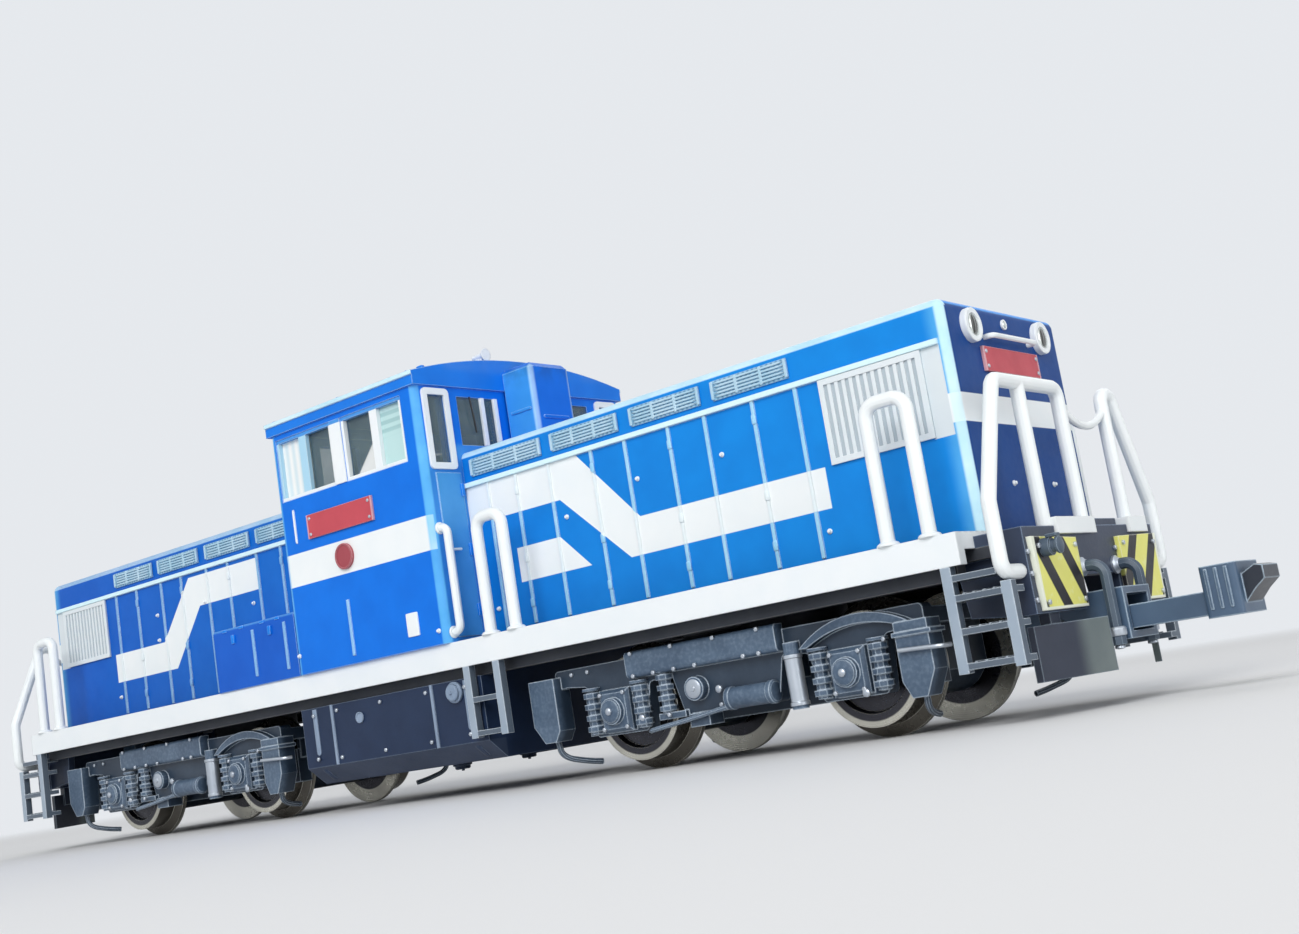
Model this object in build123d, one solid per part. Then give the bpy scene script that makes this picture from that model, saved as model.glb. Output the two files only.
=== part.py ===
from build123d import *
import os

# Scale model of a centre-cab diesel locomotive, nine-millimetre gauge. Sizes are in millimetres,
# X towards the front end, Z up, origin on the floor in the middle of the length and the width.
# The model is the same after half a turn, so most rear pieces are the front ones turned round.

# Wheels and bogies
flange_depth = 0.6
tread_radius = 2.87
axle_radius = 0.75
axle_end_radius = 0.4
wheel_back = 3.7
wheel_width = 1.8
flange_width = 0.55
bogie_centre = 24.4
wheelbase = 15.0
running_gap = 0.05
frame_inner = 6.05
frame_plate = 0.9
gearbox_half_width = 3.2
gearbox_half_length = 9.4
pivot_radius = 1.5
pivot_depth = 2.3
wheel_headroom = 0.51

# Walkway and underframe
walkway_half_length = 39.8
walkway_half_width = 9.1
walkway_plate = 0.8
chassis_plate = 0.55
sill_height = 1.5
sill_width = 0.6
girder_half_width = 8.2
girder_height = 0.6
girder_width = 0.8
platform_depth = 1.5
beam_thickness = 0.9
beam_half_width = 7.5
beam_slot_half_width = 2.25
beam_drop = 0.25
warning_plate_thickness = 0.25

# Hoods, with heights from the walkway
hood_half_width = 6.25
hood_height = 11.3
hood_wall = 0.8
hood_corner_radius = 0.5
ledge_height = 9.35
ledge_proud = 0.18
ledge_depth = 0.28
seam_proud = 0.08
seam_width = 0.2
grille_bottom = 4.75
grille_proud = 0.15

# Cab, with heights from the walkway
cab_half_length = 6.9
cab_half_width = 9.35
cab_wall = 0.7
cab_corner_radius = 0.45
cab_wall_height = 15.35
window_bottom = 11.0
window_top = 15.0
roof_eave = 16.2
roof_crown = 17.4
roof_overhang = 0.15
frame_depth = 0.3
glass_thickness = 0.25

# Rails, steps and couplers
rail_radius = 0.35
rail_sides = 12
thin_rod_sides = 8
boss_sides = 16
rail_height = 6.7
step_stringer = 0.5
step_plane = 9.1
pocket_half_width = 1.6
pocket_wall = 0.35
pocket_reach = 1.6
coupler_height = 3.3
coupler_reach = 7.9

# Values worked out from those above
rail_level = flange_depth
axle_height = rail_level + tread_radius
flange_radius = tread_radius + flange_depth
wheel_front = wheel_back + wheel_width
chassis_bottom = axle_height + flange_radius + wheel_headroom
plate_bottom = chassis_bottom + chassis_plate
deck_level = plate_bottom + walkway_plate
sill_bottom = deck_level - sill_height
girder_bottom = sill_bottom - girder_height
hood_end = walkway_half_length
hood_start = cab_half_length
beam_back = walkway_half_length + platform_depth
beam_front = beam_back + beam_thickness
near_side = -1
far_side = 1


def above_rail(height):
    return rail_level + height


def above_axle(height):
    return axle_height + height


def above_deck(height):
    return deck_level + height


def block(x, y, z):
    """A box between two corners, each span given as (low, high)."""
    centre = Pos((x[0] + x[1]) / 2, (y[0] + y[1]) / 2, (z[0] + z[1]) / 2)
    return centre * Box(x[1] - x[0], y[1] - y[0], z[1] - z[0])


def centred(x, y, half_length, half_width, z):
    """A box round the upright line at x, y."""
    return block((x - half_length, x + half_length), (y - half_width, y + half_width), z)


def upright(x, y, radius, z):
    """A round bar standing between z[0] and z[1]."""
    return Pos(x, y, (z[0] + z[1]) / 2) * Cylinder(radius, z[1] - z[0])


def crosswise(x, z, radius, y):
    """A round bar lying across the locomotive, from y[0] to y[1]."""
    return Pos(x, (y[0] + y[1]) / 2, z) * Rot(90, 0, 0) * Cylinder(radius, y[1] - y[0])


def lengthwise(y, z, radius, x):
    """A round bar lying along the locomotive, from x[0] to x[1]."""
    return Pos((x[0] + x[1]) / 2, y, z) * Rot(0, 90, 0) * Cylinder(radius, x[1] - x[0])


def prism(x, y, radius, sides, z):
    """A many-sided bar standing between z[0] and z[1]."""
    return Pos(x, y, z[0]) * extrude(RegularPolygon(radius, sides), amount=z[1] - z[0], dir=(0, 0, 1))


def crosswise_boss(x, z, radius, y):
    """A many-sided boss lying across the locomotive, from y[0] to y[1]."""
    section = Plane.XZ * RegularPolygon(radius, boss_sides)
    return Pos(x, y[0], z) * extrude(section, amount=y[1] - y[0], dir=(0, 1, 0))


def side_plate(outline, y):
    """A closed outline in x and z made into a plate between two values of y."""
    return Pos(0, y[0], 0) * extrude(make_face(Plane.XZ * outline), amount=y[1] - y[0], dir=(0, 1, 0))


def end_plate(outline, x):
    """A closed outline in y and z made into a plate between two values of x."""
    return Pos(x[0], 0, 0) * extrude(make_face(Plane.YZ * outline), amount=x[1] - x[0], dir=(1, 0, 0))


def side_profile(points, y):
    return side_plate(Polyline(*points, close=True), y)


def end_profile(points, x):
    return end_plate(Polyline(*points, close=True), x)


def pipe(points, bend_radius, radius, sides):
    """A many-sided rod along straight runs joined by bends."""
    path = FilletPolyline(*points, radius=bend_radius)
    start = Plane(origin=path @ 0, z_dir=path % 0)
    return sweep(start * RegularPolygon(radius, sides), path=path)


def turned(part):
    """The same piece half a turn round the upright middle line."""
    return Rot(0, 0, 180) * part


def mirrored(part):
    """The same piece on the other side of the locomotive."""
    return mirror(part, about=Plane.XZ)


def save(name, *pieces):
    solids = []
    for piece in pieces:
        solids.extend(piece.solids())
    shape = solids[0] if len(solids) == 1 else Compound(children=solids)
    export_step(shape, f"parts/{name}.step")


os.makedirs("parts", exist_ok=True)

# Metal underframe: a flat plate with a girder under each edge
girder_setback = 0.7
underframe = block(
    (-beam_back, beam_back), (-beam_half_width, beam_half_width), (chassis_bottom, plate_bottom)
)
for side in (near_side, far_side):
    edges = sorted((side * girder_half_width, side * (girder_half_width - girder_width)))
    underframe += block(
        (girder_setback - walkway_half_length, walkway_half_length - girder_setback),
        edges,
        (girder_bottom, plate_bottom),
    )
save("underframe", underframe)

# Bogie pivots: a pad under the plate with the pin that the gear case swings on
gearbox_top = above_axle(2.43)
gearbox_bottom = above_axle(-1.37)
pad_radius = 3.0
pin_bottom = gearbox_top - pivot_depth
pivot = upright(bogie_centre, 0, pad_radius, (gearbox_top, chassis_bottom))
pivot += upright(bogie_centre, 0, pivot_radius, (pin_bottom, chassis_bottom))
save("bogie_pivots", pivot, turned(pivot))

# Walkway: a plate with a deeper sill along each side
walkway_span = (-walkway_half_length, walkway_half_length)
walkway = block(walkway_span, (-walkway_half_width, walkway_half_width), (plate_bottom, deck_level))
for side in (near_side, far_side):
    edges = sorted((side * walkway_half_width, side * (walkway_half_width - sill_width)))
    walkway += block(walkway_span, edges, (sill_bottom, plate_bottom))
save("walkway", walkway)

# Hoods: a shell over a metal weight, with a ledge under the louvres, door seams and roof hatches
hood_inner_end = hood_end - hood_wall
hood_roof = above_deck(hood_height)
ledge_level = above_deck(ledge_height)
hood_seams = (8.8, 11.1, 13.75, 17.05, 19.55, 22.65, 25.15, 28.3, 31.0)
hood_hatches = ((10.4, 13.6), (15.0, 21.4), (22.8, 29.6))
hatch_half_width = 3.4
hatch_proud = 0.15
seam_clearance = 0.35
trim_root = 0.2
hood = block((hood_start, hood_end), (-hood_half_width, hood_half_width), (deck_level, hood_roof))
corner_edges = hood.edges().filter_by(Axis.Z).sort_by(Axis.X)[-2:]
top_face = hood.faces().sort_by(Axis.Z)[-1]
top_edges = top_face.edges().filter_by(Axis.X)
end_edge = top_face.edges().filter_by(Axis.Y).sort_by(Axis.X)[-1:]
hood = fillet(corner_edges + top_edges + end_edge, hood_corner_radius)
hood -= block(
    (hood_start - 1, hood_inner_end),
    (-hood_half_width + hood_wall, hood_half_width - hood_wall),
    (deck_level - 1, hood_roof - hood_wall),
)
for side in (near_side, far_side):
    face = side * hood_half_width
    ledge = sorted((face - side * trim_root, face + side * ledge_proud))
    ledge_span = (hood_start, hood_end - hood_corner_radius)
    hood += block(ledge_span, ledge, (ledge_level - ledge_depth, ledge_level))
    seam = sorted((face - side * trim_root, face + side * seam_proud))
    for x in hood_seams:
        hood += block(
            (x - seam_width / 2, x + seam_width / 2),
            seam,
            (deck_level + seam_clearance, ledge_level - ledge_depth),
        )
for start, end in hood_hatches:
    hood += block(
        (start, end),
        (-hatch_half_width, hatch_half_width),
        (hood_roof - trim_root, hood_roof + hatch_proud),
    )
save("front_hood", hood)
save("rear_hood", turned(hood))

# Metal weight inside each hood
weight_gap = 0.15
weight_setback = 0.9
weight = block(
    (hood_start + weight_setback, hood_inner_end - weight_gap),
    (-hood_half_width + hood_wall + weight_gap, hood_half_width - hood_wall - weight_gap),
    (deck_level, hood_roof - hood_wall - weight_gap),
)
save("front_weight", weight)
save("rear_weight", turned(weight))

# Radiator grilles on the hood sides: a frame with upright slats
grille_length = 5.85
grille_end = hood_end - 1.5
grille_start = grille_end - grille_length
grille_frame = 0.3
slat_pitch = 0.42
slat_width = 0.2
slat_setback = 0.03
slat_root = 0.05
grille_top = ledge_level - ledge_depth - 0.02
grille_face = hood_half_width + grille_proud
slat_span = (above_deck(grille_bottom) + grille_frame, grille_top - grille_frame)
grille = block(
    (grille_start, grille_end), (hood_half_width, grille_face), (above_deck(grille_bottom), grille_top)
)
grille -= block(
    (grille_start + grille_frame, grille_end - grille_frame),
    (hood_half_width + slat_root, grille_face + 1),
    slat_span,
)
slat_count = int((grille_length - 2 * grille_frame) / slat_pitch)
first_slat = (grille_start + grille_end - (slat_count - 1) * slat_pitch) / 2
for number in range(slat_count):
    x = first_slat + number * slat_pitch
    grille += block(
        (x - slat_width / 2, x + slat_width / 2), (hood_half_width, grille_face - slat_setback), slat_span
    )
save("front_grilles", grille, mirrored(grille))
save("rear_grilles", turned(grille), turned(mirrored(grille)))

# Louvre panels in the band above the ledge
louvre_spans = ((7.7, 13.4), (14.3, 19.3), (20.3, 25.1), (26.0, 30.8))
louvre_margin = 0.3
louvre_drop = 0.6
louvre_proud = 0.1
louvres = []
for start, end in louvre_spans:
    panel = block(
        (start, end),
        (hood_half_width, hood_half_width + louvre_proud),
        (ledge_level + louvre_margin, hood_roof - louvre_drop),
    )
    louvres.extend((panel, mirrored(panel)))
save("front_louvres", *louvres)
save("rear_louvres", *[turned(panel) for panel in louvres])

# Cooling fan cowl on top of each hood, over the radiators: a ring with crossed bars
fan_centre = (grille_start + grille_end) / 2
fan_radius = 2.9
fan_ring = 0.35
fan_height = 0.3
fan_bar_width = 0.22
fan_bar_height = 0.21
cowl = upright(fan_centre, 0, fan_radius, (hood_roof, hood_roof + fan_height))
cowl -= upright(fan_centre, 0, fan_radius - fan_ring, (hood_roof - 1, hood_roof + fan_height + 1))
for angle in (0, 60, 120):
    bar = Box(2 * fan_radius - fan_ring, fan_bar_width, fan_bar_height)
    cowl += Pos(fan_centre, 0, hood_roof + fan_bar_height / 2) * Rot(0, 0, angle) * bar
save("front_fan_cowl", cowl)
save("rear_fan_cowl", turned(cowl))

# Exhaust casing between each hood and the cab, with its outlet in the top
exhaust_half_width = 1.8
exhaust_length = 2.4
exhaust_height = 16.7
exhaust_start = hood_start + roof_overhang
exhaust_top = above_deck(exhaust_height)
exhaust_end = exhaust_start + exhaust_length
casing = block(
    (exhaust_start, exhaust_end), (-exhaust_half_width, exhaust_half_width), (hood_roof, exhaust_top)
)
casing = fillet(casing.edges().filter_by(Axis.Z).sort_by(Axis.X)[-2:], 0.35)
casing = chamfer(casing.faces().sort_by(Axis.Z)[-1].edges().sort_by(Axis.X)[-1:], 0.3)
casing -= centred((exhaust_start + exhaust_end) / 2, 0, 0.55, 1.1, (exhaust_top - 0.6, exhaust_top + 1))
save("front_exhaust", casing)
save("rear_exhaust", turned(casing))

# Cab walls: one moulding, open at the top, with its windows cut
cab_top = above_deck(cab_wall_height)
pane_bottom = above_deck(window_bottom)
pane_top = above_deck(window_top)
side_windows = ((-6.35, -0.95), (0.05, 5.6))
side_sash_posts = ((-4.15, -3.45), (2.7, 3.35))
door_window = (7.1, 8.45)
door_window_bottom = above_deck(10.65)
centre_window = (2.6, 5.95)
centre_window_bottom = above_deck(11.8)
centre_window_posts = ((2.6, 2.9), (3.75, 4.05))
end_window_top = above_deck(14.8)
door_bottom = above_deck(0.3)
door_proud = 0.07
door_panel_span = (6.5, 8.5)
cab_seam = -1.3
walls = block((-cab_half_length, cab_half_length), (-cab_half_width, cab_half_width), (deck_level, cab_top))
walls = fillet(walls.edges().filter_by(Axis.Z), cab_corner_radius)
walls -= block(
    (-cab_half_length + cab_wall, cab_half_length - cab_wall),
    (-cab_half_width + cab_wall, cab_half_width - cab_wall),
    (deck_level - 1, cab_top + 1),
)
door_panel = block(
    (cab_half_length - trim_root, cab_half_length + door_proud),
    (-door_panel_span[1], -door_panel_span[0]),
    (door_bottom, door_window_bottom - 0.6),
)
seam_strip = block(
    (cab_seam - seam_width / 2, cab_seam + seam_width / 2),
    (-cab_half_width - seam_proud, -cab_half_width + trim_root),
    (above_deck(0.5), above_deck(3.9)),
)
walls = walls + door_panel + turned(door_panel) + seam_strip + turned(seam_strip)


def side_opening(span, inset, depth, margin=0.0):
    """A cut through the cab's near side, or what fills it; a margin makes it smaller all round."""
    face = -cab_half_width + inset
    x = (span[0] + margin, span[1] - margin)
    return block(x, (face, face + depth), (pane_bottom + margin, pane_top - margin))


def end_opening(span, bottom, side, inset, depth, margin=0.0):
    """The same in the cab's front end wall."""
    face = cab_half_length - inset
    y = sorted((side * (span[0] + margin), side * (span[1] - margin)))
    return block((face - depth, face), y, (bottom + margin, end_window_top - margin))


glass = []
frames = []
sash_width = 0.22
frame_inset = 0.05
glass_inset = frame_inset + frame_depth
for span, post in zip(side_windows, side_sash_posts):
    opening = side_opening(span, -1, 3)
    pane = side_opening(span, glass_inset, glass_thickness)
    sash = side_opening(span, frame_inset, frame_depth)
    sash -= side_opening(span, -1, 3, sash_width)
    post_depth = (-cab_half_width + frame_inset, -cab_half_width + glass_inset)
    sash += block(post, post_depth, (pane_bottom, pane_top))
    walls = walls - opening - turned(opening)
    glass.extend((pane, turned(pane)))
    frames.extend((sash, turned(sash)))
post_cover = block(
    (side_windows[0][1], side_windows[1][0]),
    (-cab_half_width - seam_proud, -cab_half_width),
    (pane_bottom, pane_top),
)
frames.extend((post_cover, turned(post_cover)))
end_windows = (
    (door_window, door_window_bottom, near_side),
    (door_window, centre_window_bottom, far_side),
    (centre_window, centre_window_bottom, near_side),
    (centre_window, centre_window_bottom, far_side),
)
rim_width = 0.4
rim_proud = 0.14
rim_corner = 0.3
for span, bottom, side in end_windows:
    opening = end_opening(span, bottom, side, -1, 3)
    pane = end_opening(span, bottom, side, frame_inset, glass_thickness)
    walls = walls - opening - turned(opening)
    glass.extend((pane, turned(pane)))
    if span == door_window:
        rim = end_opening(span, bottom, side, -rim_proud, rim_proud, -rim_width)
        rim = fillet(rim.edges().filter_by(Axis.X), rim_corner)
        rim -= opening
        frames.extend((rim, turned(rim)))
    else:
        for post in centre_window_posts:
            strip = end_opening(post, bottom, side, -rim_proud, rim_proud + frame_inset)
            frames.extend((strip, turned(strip)))
save("cab_walls", walls)
save("cab_glass", *glass)
save("cab_window_frames", *frames)

# Grab rail beside each cab door, on the end wall
grab_rail_y = -cab_half_width + 0.55
grab_rail_reach = 0.6
grab_rail_span = (above_deck(0.6), above_deck(6.7))
grab_rail = pipe(
    (
        (cab_half_length, grab_rail_y, grab_rail_span[0]),
        (cab_half_length + grab_rail_reach, grab_rail_y, grab_rail_span[0]),
        (cab_half_length + grab_rail_reach, grab_rail_y, grab_rail_span[1]),
        (cab_half_length, grab_rail_y, grab_rail_span[1]),
    ),
    0.4,
    0.25,
    thin_rod_sides,
)
save("cab_grab_rails", grab_rail, turned(grab_rail))

# Cab roof: a shallow arch with a rain gutter along each side, hollow below
roof_half_width = cab_half_width + roof_overhang
roof_half_length = cab_half_length + roof_overhang
gutter = 0.1
gutter_height = 0.25
eave_level = above_deck(roof_eave)
arch = Polyline(
    (-roof_half_width, eave_level),
    (-roof_half_width, cab_top),
    (roof_half_width, cab_top),
    (roof_half_width, eave_level),
)
arch += ThreePointArc(
    (roof_half_width, eave_level), (0, above_deck(roof_crown)), (-roof_half_width, eave_level)
)
roof = end_plate(arch, (-roof_half_length, roof_half_length))
for side in (near_side, far_side):
    edges = sorted((side * (roof_half_width - trim_root), side * (roof_half_width + gutter)))
    roof += block((-roof_half_length, roof_half_length), edges, (eave_level - gutter_height, eave_level))
solid_roof = roof
roof -= block(
    (-cab_half_length + cab_wall, cab_half_length - cab_wall),
    (-cab_half_width + cab_wall, cab_half_width - cab_wall),
    (cab_top - 1, eave_level - 0.1),
)
save("cab_roof", roof)

# Horn at each end of the cab roof: a flared bell on a foot
horn_y = -2.9
horn_length = 1.1
horn_height = 0.28
horn_front = roof_half_length - 0.1
horn_level = above_deck(roof_crown) + horn_height
bell = Polyline(
    (0, 0), (horn_length, 0), (horn_length, 0.42), (0.75 * horn_length, 0.24), (0, 0.17), close=True
)
horn = revolve(make_face(Plane.XY * bell), Axis.X)
horn = Pos(horn_front - horn_length, horn_y, horn_level) * horn
horn += centred(horn_front - horn_length / 2, horn_y, 0.3, 0.15, (eave_level, horn_level))
horn -= solid_roof
save("roof_horns", horn, turned(horn))

# Cab floor with a driver's desk and seat at each end
floor_top = above_deck(7.4)
floor_plate = 0.8
room_length = cab_half_length - cab_wall
room_width = cab_half_width - cab_wall
interior = block(
    (-room_length, room_length), (-room_width, room_width), (floor_top - floor_plate, floor_top)
)
desk = side_profile(
    (
        (room_length - 2.0, floor_top - floor_plate),
        (room_length, floor_top - floor_plate),
        (room_length, floor_top + 3.4),
        (room_length - 0.8, floor_top + 3.4),
        (room_length - 2.0, floor_top + 2.4),
    ),
    (-room_width + 0.2, -2.4),
)
seat = centred(2.2, -5.2, 0.9, 1.0, (floor_top, floor_top + 1.6))
seat_back = block((1.0, 1.5), (-6.2, -4.2), (floor_top, floor_top + 4.0))
for piece in (desk, seat, seat_back):
    interior = interior + piece + turned(piece)
save("cab_interior", interior)

# Tool boxes on the walkway, behind the cab on the near side and before it on the far side
box_length = 8.6
box_height = 4.1
box_setback = 0.15
box_start = -cab_half_length - box_length
box_face = -cab_half_width + box_setback
box_seams = (-cab_half_length - 1.0, (box_start - cab_half_length) / 2)
tool_box = block(
    (box_start, -cab_half_length),
    (box_face, -hood_half_width - seam_proud),
    (deck_level, above_deck(box_height)),
)
tool_box = fillet(tool_box.edges().filter_by(Axis.X).group_by(Axis.Z)[-1].sort_by(Axis.Y)[:1], 0.25)
for x in box_seams:
    tool_box += block(
        (x - seam_width / 2, x + seam_width / 2),
        (box_face - seam_proud, box_face + trim_root),
        (above_deck(0.6), above_deck(3.6)),
    )
save("tool_boxes", tool_box, turned(tool_box))

# Headlamps with their rims, a small marker lamp and a handle on each hood end
lamp_height = above_deck(10.05)
lamp_offset = 3.8
lamp_radius = 0.85
lamp_depth = 0.32
lamp_rim = 0.27
lens_seat = 0.1
lens_thickness = 0.15
marker_radius = 0.2
marker_lamp = lengthwise(0, above_deck(10.45), marker_radius, (hood_end, hood_end + lens_thickness))
rims = []
lenses = [marker_lamp]
for side in (near_side, far_side):
    place = side * lamp_offset
    rim = lengthwise(place, lamp_height, lamp_radius, (hood_end, hood_end + lamp_depth))
    rim -= lengthwise(place, lamp_height, lamp_radius - lamp_rim, (hood_end + lens_seat, hood_end + 2))
    lens_span = (hood_end + lens_seat, hood_end + lens_seat + lens_thickness)
    rims.append(rim)
    lenses.append(lengthwise(place, lamp_height, lamp_radius - lamp_rim, lens_span))
save("front_lamp_rims", *rims)
save("rear_lamp_rims", *[turned(rim) for rim in rims])
save("front_lamp_lenses", *lenses)
save("rear_lamp_lenses", *[turned(lens) for lens in lenses])
handle_half_width = 2.4
handle_height = above_deck(9.6)
handle = pipe(
    (
        (hood_end, -handle_half_width, handle_height),
        (hood_end + 0.5, -handle_half_width, handle_height),
        (hood_end + 0.5, handle_half_width, handle_height),
        (hood_end, handle_half_width, handle_height),
    ),
    0.25,
    0.14,
    thin_rod_sides,
)
save("hood_handles", handle, turned(handle))

# Blank plates: one on each hood end, one on each cab side with a plain disc below it
plate_proud = 0.15
end_name_plate = block((hood_end, hood_end + plate_proud), (-3.0, 3.0), (above_deck(7.85), above_deck(9.1)))
save("end_plates", end_name_plate, turned(end_name_plate))
side_face = (-cab_half_width - plate_proud, -cab_half_width)
side_name_plate = block((-4.1, 2.1), side_face, (above_deck(8.2), above_deck(9.7)))
save("side_plates", side_name_plate, turned(side_name_plate))
disc = crosswise(-1.0, above_deck(6.55), 0.8, side_face)
save("side_discs", disc, turned(disc))

# Underfloor tank between the bogies, with chamfered lower edges and upright ribs
tank_half_length = 8.2
tank_half_width = 8.45
tank_bottom = above_rail(1.3)
tank_chamfer_height = 1.1
tank_chamfer_width = 1.3
tank_ribs = (-5.2, 4.0)
tank = end_profile(
    (
        (-tank_half_width, girder_bottom),
        (-tank_half_width, tank_bottom + tank_chamfer_height),
        (-tank_half_width + tank_chamfer_width, tank_bottom),
        (tank_half_width - tank_chamfer_width, tank_bottom),
        (tank_half_width, tank_bottom + tank_chamfer_height),
        (tank_half_width, girder_bottom),
    ),
    (-tank_half_length, tank_half_length),
)
tank += block(
    (-tank_half_length, tank_half_length),
    (-girder_half_width + girder_width, girder_half_width - girder_width),
    (girder_bottom, chassis_bottom),
)
for x in tank_ribs:
    rib = block(
        (x - seam_width / 2, x + seam_width / 2),
        (-tank_half_width - seam_proud, -tank_half_width + trim_root),
        (tank_bottom + tank_chamfer_height, girder_bottom),
    )
    tank = tank + rib + turned(rib)
save("fuel_tank", tank)

# End beams: a plate with the platform behind it, a slot for the coupler pocket and a gusset at each side
beam_top = above_deck(-beam_drop)
beam_bottom = above_deck(-4.2)
slot_top = above_deck(-2.6)
beam = block((beam_back, beam_front), (-beam_half_width, beam_half_width), (beam_bottom, beam_top))
beam -= block(
    (beam_back - 1, beam_front + 1),
    (-beam_slot_half_width, beam_slot_half_width),
    (beam_bottom - 1, slot_top),
)
beam += block(
    (walkway_half_length, beam_back), (-beam_half_width, beam_half_width), (plate_bottom, beam_top)
)
gusset_points = (
    (beam_back, beam_bottom),
    (beam_back - 2.6, beam_bottom + 0.3),
    (beam_back - 2.9, chassis_bottom),
    (beam_back, chassis_bottom),
)
gusset = side_profile(gusset_points, (-7.0, -6.5))
beam = beam + gusset + mirrored(gusset)
step_pad = block((beam_back + 0.1, beam_front - 0.1), (0.75, 3.4), (beam_top, beam_top + 0.35))
beam += step_pad
save("front_end_beam", beam)
save("rear_end_beam", turned(beam))

# Striped warning plates on the end beams
warning_plates = []
plate_outline = ((7.25, -0.75), (7.0, -4.1), (2.5, -4.1), (2.5, -0.85))
for side in (near_side, far_side):
    points = [(side * y, above_deck(z)) for y, z in plate_outline]
    warning_plates.append(end_profile(points, (beam_front, beam_front + warning_plate_thickness)))
save("front_warning_plates", *warning_plates)
save("rear_warning_plates", *[turned(plate) for plate in warning_plates])

# Round jumper socket on each near warning plate, and a brake hose at each side of the coupler
plate_face = beam_front + warning_plate_thickness
jumper_offset = -6.2
jumper_level = above_deck(-1.3)
jumper = lengthwise(jumper_offset, jumper_level, 0.42, (plate_face, plate_face + 0.45))
jumper += lengthwise(jumper_offset, jumper_level, 0.3, (plate_face, plate_face + 0.7))
save("jumper_sockets", jumper, turned(jumper))
hose_radius = 0.28
hose_offset = 1.97
hose_front = beam_front + 1.1
hose_top = slot_top + 0.35
hose_bottom = above_rail(2.7)
hoses = []
for side in (near_side, far_side):
    y = side * hose_offset
    hose = pipe(
        ((beam_front, y, hose_top), (hose_front, y, hose_top), (hose_front, y, hose_bottom)),
        0.6,
        hose_radius,
        thin_rod_sides,
    )
    hose += prism(hose_front, y, hose_radius + 0.1, thin_rod_sides, (hose_bottom - 0.6, hose_bottom))
    hoses.extend((hose, turned(hose)))
save("brake_hoses", *hoses)

# Ploughs under the end beams: two blades that stand in a blunt V, each hung from a bracket
blade_top = above_rail(3.5)
blade_bottom = above_rail(1.0)
blade_thickness = 0.35
blade_outer = (beam_front - 0.6, -6.9)
blade_inner = (beam_front + 1.1, -2.65)
blade_outline = make_face(
    Polyline(
        blade_outer,
        blade_inner,
        (blade_inner[0] - blade_thickness, blade_inner[1]),
        (blade_outer[0] - blade_thickness, blade_outer[1]),
        close=True,
    )
)
blade = Pos(0, 0, blade_bottom) * extrude(blade_outline, amount=blade_top - blade_bottom, dir=(0, 0, 1))
blade += block((beam_back + 0.15, beam_back + 0.7), (-5.9, -4.9), (blade_top - 0.8, beam_bottom))
ploughs = (blade, mirrored(blade))
save("ploughs", *ploughs, *[turned(piece) for piece in ploughs])

# Handrails at each end: three posts under one bar on one side, two on the other, joined by a moulded chain
end_rail_plane = beam_front - beam_thickness / 2
rail_foot = above_deck(-2.2)
rail_knee = above_deck(1.0)
rail_bar = above_deck(rail_height)
rail_reach = 9.2
rail_shoulder = 6.6
long_rail_posts = (-4.1, 0.2)
short_rail_post = 5.5
chain_radius = 0.2
chain_sag = 1.0
chain_drop = 0.8
base_bar_height = 0.4
base_lip_depth = 0.4
base_lip_thickness = 0.2
end_rail_bend = 0.55


def rail_frame(side, inner_post):
    """A post that leans outwards round the beam's end, a bar on top and an inner post on the beam."""
    runs = (
        (side * beam_half_width, rail_foot),
        (side * rail_reach, rail_foot),
        (side * rail_reach, rail_knee),
        (side * rail_shoulder, rail_bar),
        (inner_post, rail_bar),
        (inner_post, beam_top),
    )
    return pipe([(end_rail_plane, y, z) for y, z in runs], end_rail_bend, rail_radius, rail_sides)


def base_bar(start, end):
    """The moulded strip that the posts stand on, with a lip over the beam's front edge."""
    strip_span = (end_rail_plane - rail_radius, beam_front + base_lip_thickness)
    strip = block(strip_span, (start, end), (beam_top, beam_top + base_bar_height))
    lip_span = (beam_front, beam_front + base_lip_thickness)
    return strip + block(lip_span, (start, end), (beam_top - base_lip_depth, beam_top + base_bar_height))


end_rails = rail_frame(near_side, long_rail_posts[1]) + rail_frame(far_side, short_rail_post)
end_rails += prism(end_rail_plane, long_rail_posts[0], rail_radius, rail_sides, (beam_top, rail_bar))
end_rails += base_bar(long_rail_posts[0], long_rail_posts[1])
end_rails += base_bar(short_rail_post - 1.1, rail_shoulder)
chain_height = rail_bar - chain_drop
chain_middle = (long_rail_posts[1] + short_rail_post) / 2
chain_line = ThreePointArc(
    (end_rail_plane, long_rail_posts[1], chain_height),
    (end_rail_plane, chain_middle, chain_height - chain_sag),
    (end_rail_plane, short_rail_post, chain_height),
)
chain_section = Plane(origin=chain_line @ 0, z_dir=chain_line % 0) * RegularPolygon(chain_radius, 8)
end_rails += sweep(chain_section, path=chain_line)
save("front_end_rails", end_rails)
save("rear_end_rails", turned(end_rails))

# Handrails along the walkway edge: pairs of posts joined by a bar
rail_line = walkway_half_width - rail_radius
hoop_bend = 0.7
corner_hoop_span = (walkway_half_length - 3.65, walkway_half_length - 1.45)
cab_hoop_span = (cab_half_length + 2.95, cab_half_length + 4.95)


def hoop(span, y, height):
    """Two posts standing on the walkway with a bar across their tops."""
    top = above_deck(height)
    corners = ((span[0], deck_level), (span[0], top), (span[1], top), (span[1], deck_level))
    return pipe([(x, y, z) for x, z in corners], hoop_bend, rail_radius, rail_sides)


corner_hoop = hoop(corner_hoop_span, -rail_line, rail_height)
cab_hoop = hoop(cab_hoop_span, -rail_line, rail_height)
corner_hoops = (corner_hoop, mirrored(corner_hoop))
save("corner_rails", *corner_hoops, *[turned(piece) for piece in corner_hoops])
save("cab_step_rails", cab_hoop, turned(cab_hoop))

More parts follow.
